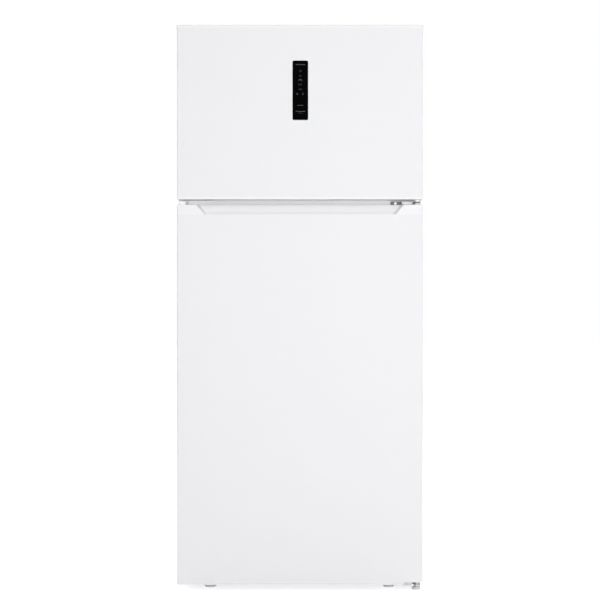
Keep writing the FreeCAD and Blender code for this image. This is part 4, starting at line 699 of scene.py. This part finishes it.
def backScrews(low, high):
    model = hexScrew()
    copies = []
    margin = backSet["screwMargin"]
    y = high.y
    count = int((high.z - low.z - 2 * margin) / backSet["screwPitch"]) + 1
    for k in range(count + 1):
        z = low.z + margin + k * (high.z - low.z - 2 * margin) / count
        for x in (low.x + margin, high.x - margin):
            copies.append(copyPiece(model, (x, y, z)))
    across = backSet["screwsAcross"]
    for k in range(1, across):
        x = low.x + margin + k * (high.x - low.x - 2 * margin) / across
        for z in (low.z + margin, high.z - margin):
            copies.append(copyPiece(model, (x, y, z)))
    bpy.data.objects.remove(model)
    return joinPieces(copies, "backScrews")


sheet, backLow, backHigh = backSheet()
dress(sheet, zincSheet, "root")
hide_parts("back_panel")
dress(backScrews(backLow, backHigh), platedSteel, "root")
print("back made")


# room, light and camera

roomSet = {
    "floor": "#ffffff", "floorGlow": 0.72,
    "skyStrength": 0.37, "skyFront": 0.03,
    "bandPower": 96, "bandSize": (3.0, 0.4), "bandPlace": (0.35, -4.7, 0.9),
    "topPower": 17, "topSize": (2.2, 1.0), "topPlace": (-0.2, -2.3, 3.6),
    "sidePower": 18, "sideSize": (1.0, 2.6), "sidePlace": (2.9, -2.6, 1.3),
    "rearPower": 75, "rearSize": (1.6, 2.4), "rearPlace": (3.0, 2.6, 1.9),
}
cameraSet = {"distance": 4.3, "height": 0.887, "side": -0.05, "frameWidth": 1.817, "sensor": 36.0}


def paleFloor():
    clearSelection()
    bpy.ops.mesh.primitive_plane_add(size=30, location=(0, 8, 0))
    floor = bpy.context.object
    floor.name = "floor"
    material, tree, shader, place = newMaterial("pale studio floor")
    mottle = addNode(tree, "ShaderNodeTexNoise", {"Vector": place}, {"Scale": 3.0})
    tone = addNode(tree, "ShaderNodeValToRGB", {"Fac": mottle.outputs["Fac"]})
    tone.color_ramp.elements[0].color = hexLinear("#fafafa")
    tone.color_ramp.elements[1].color = hexLinear(roomSet["floor"])
    tree.links.new(tone.outputs["Color"], shader.inputs["Base Color"])
    shader.inputs["Roughness"].default_value = 0.9
    shader.inputs["Specular IOR Level"].default_value = 0.0
    shader.inputs["Emission Color"].default_value = hexLinear(roomSet["floor"])
    path = addNode(tree, "ShaderNodeLightPath")
    glow = addNode(
        tree, "ShaderNodeMath", {0: path.outputs["Is Camera Ray"]}, {1: roomSet["floorGlow"]}, operation="MULTIPLY",
    )
    tree.links.new(glow.outputs["Value"], shader.inputs["Emission Strength"])
    floor.data.materials.append(material)


def softbox(name, place, aim, size, power):
    clearSelection()
    bpy.ops.object.light_add(type="AREA", location=place)
    lamp = bpy.context.object
    lamp.name = name
    lamp.data.shape = "RECTANGLE"
    lamp.data.size, lamp.data.size_y = size
    lamp.data.energy = power
    lamp.rotation_euler = (Vector(aim) - Vector(place)).to_track_quat("-Z", "Y").to_euler()


def studio():
    # white where the camera looks; as a light, a soft tent that is open and dark towards the camera
    world = bpy.data.worlds.new("studio")
    bpy.context.scene.world = world
    world.use_nodes = True
    tree = world.node_tree
    seen = tree.nodes["Background"]
    seen.inputs["Color"].default_value = hexLinear("#ffffff")
    seen.inputs["Strength"].default_value = 1.0
    way = addNode(tree, "ShaderNodeTexCoord")
    axes = addNode(tree, "ShaderNodeSeparateXYZ", {"Vector": way.outputs["Generated"]})
    tent = addNode(
        tree, "ShaderNodeMapRange", {"Value": axes.outputs["Y"]},
        {"From Min": -0.98, "From Max": -0.55, "To Min": roomSet["skyFront"], "To Max": roomSet["skyStrength"]},
    )
    glow = addNode(tree, "ShaderNodeBackground", {"Strength": tent.outputs["Result"]}, {"Color": hexLinear("#ffffff")})
    path = addNode(tree, "ShaderNodeLightPath")
    mixed = addNode(
        tree, "ShaderNodeMixShader",
        {0: path.outputs["Is Camera Ray"], 1: glow.outputs[0], 2: seen.outputs[0]},
    )
    tree.links.new(mixed.outputs[0], tree.nodes["World Output"].inputs["Surface"])
    x, y, z = roomSet["sidePlace"]
    softbox("bandFront", roomSet["bandPlace"], (0, -0.35, 0.95), roomSet["bandSize"], roomSet["bandPower"])
    softbox("sideRight", (x, y, z), (0, -0.35, 0.9), roomSet["sideSize"], roomSet["sidePower"])
    softbox("topFront", roomSet["topPlace"], (0, -0.35, 1.3), roomSet["topSize"], roomSet["topPower"])
    x, y, z = roomSet["rearPlace"]
    for side in (-1, 1):
        softbox("rear", (side * x, y, z), (0, 0, 0.9), roomSet["rearSize"], roomSet["rearPower"])


def photoCamera():
    clearSelection()
    front = cadBox[0].y
    spot = (cameraSet["side"], front - cameraSet["distance"], cameraSet["height"])
    bpy.ops.object.camera_add(location=spot, rotation=(math.radians(90), 0, 0))
    camera = bpy.context.object
    camera.data.sensor_width = cameraSet["sensor"]
    camera.data.lens = cameraSet["sensor"] * cameraSet["distance"] / cameraSet["frameWidth"]
    camera.data.shift_x = -cameraSet["side"] / cameraSet["frameWidth"]
    camera.data.clip_start = 0.05
    camera.data.clip_end = 60
    bpy.context.scene.camera = camera


paleFloor()
studio()
photoCamera()
bpy.context.scene.view_settings.view_transform = "Standard"
print("room, light and camera set")
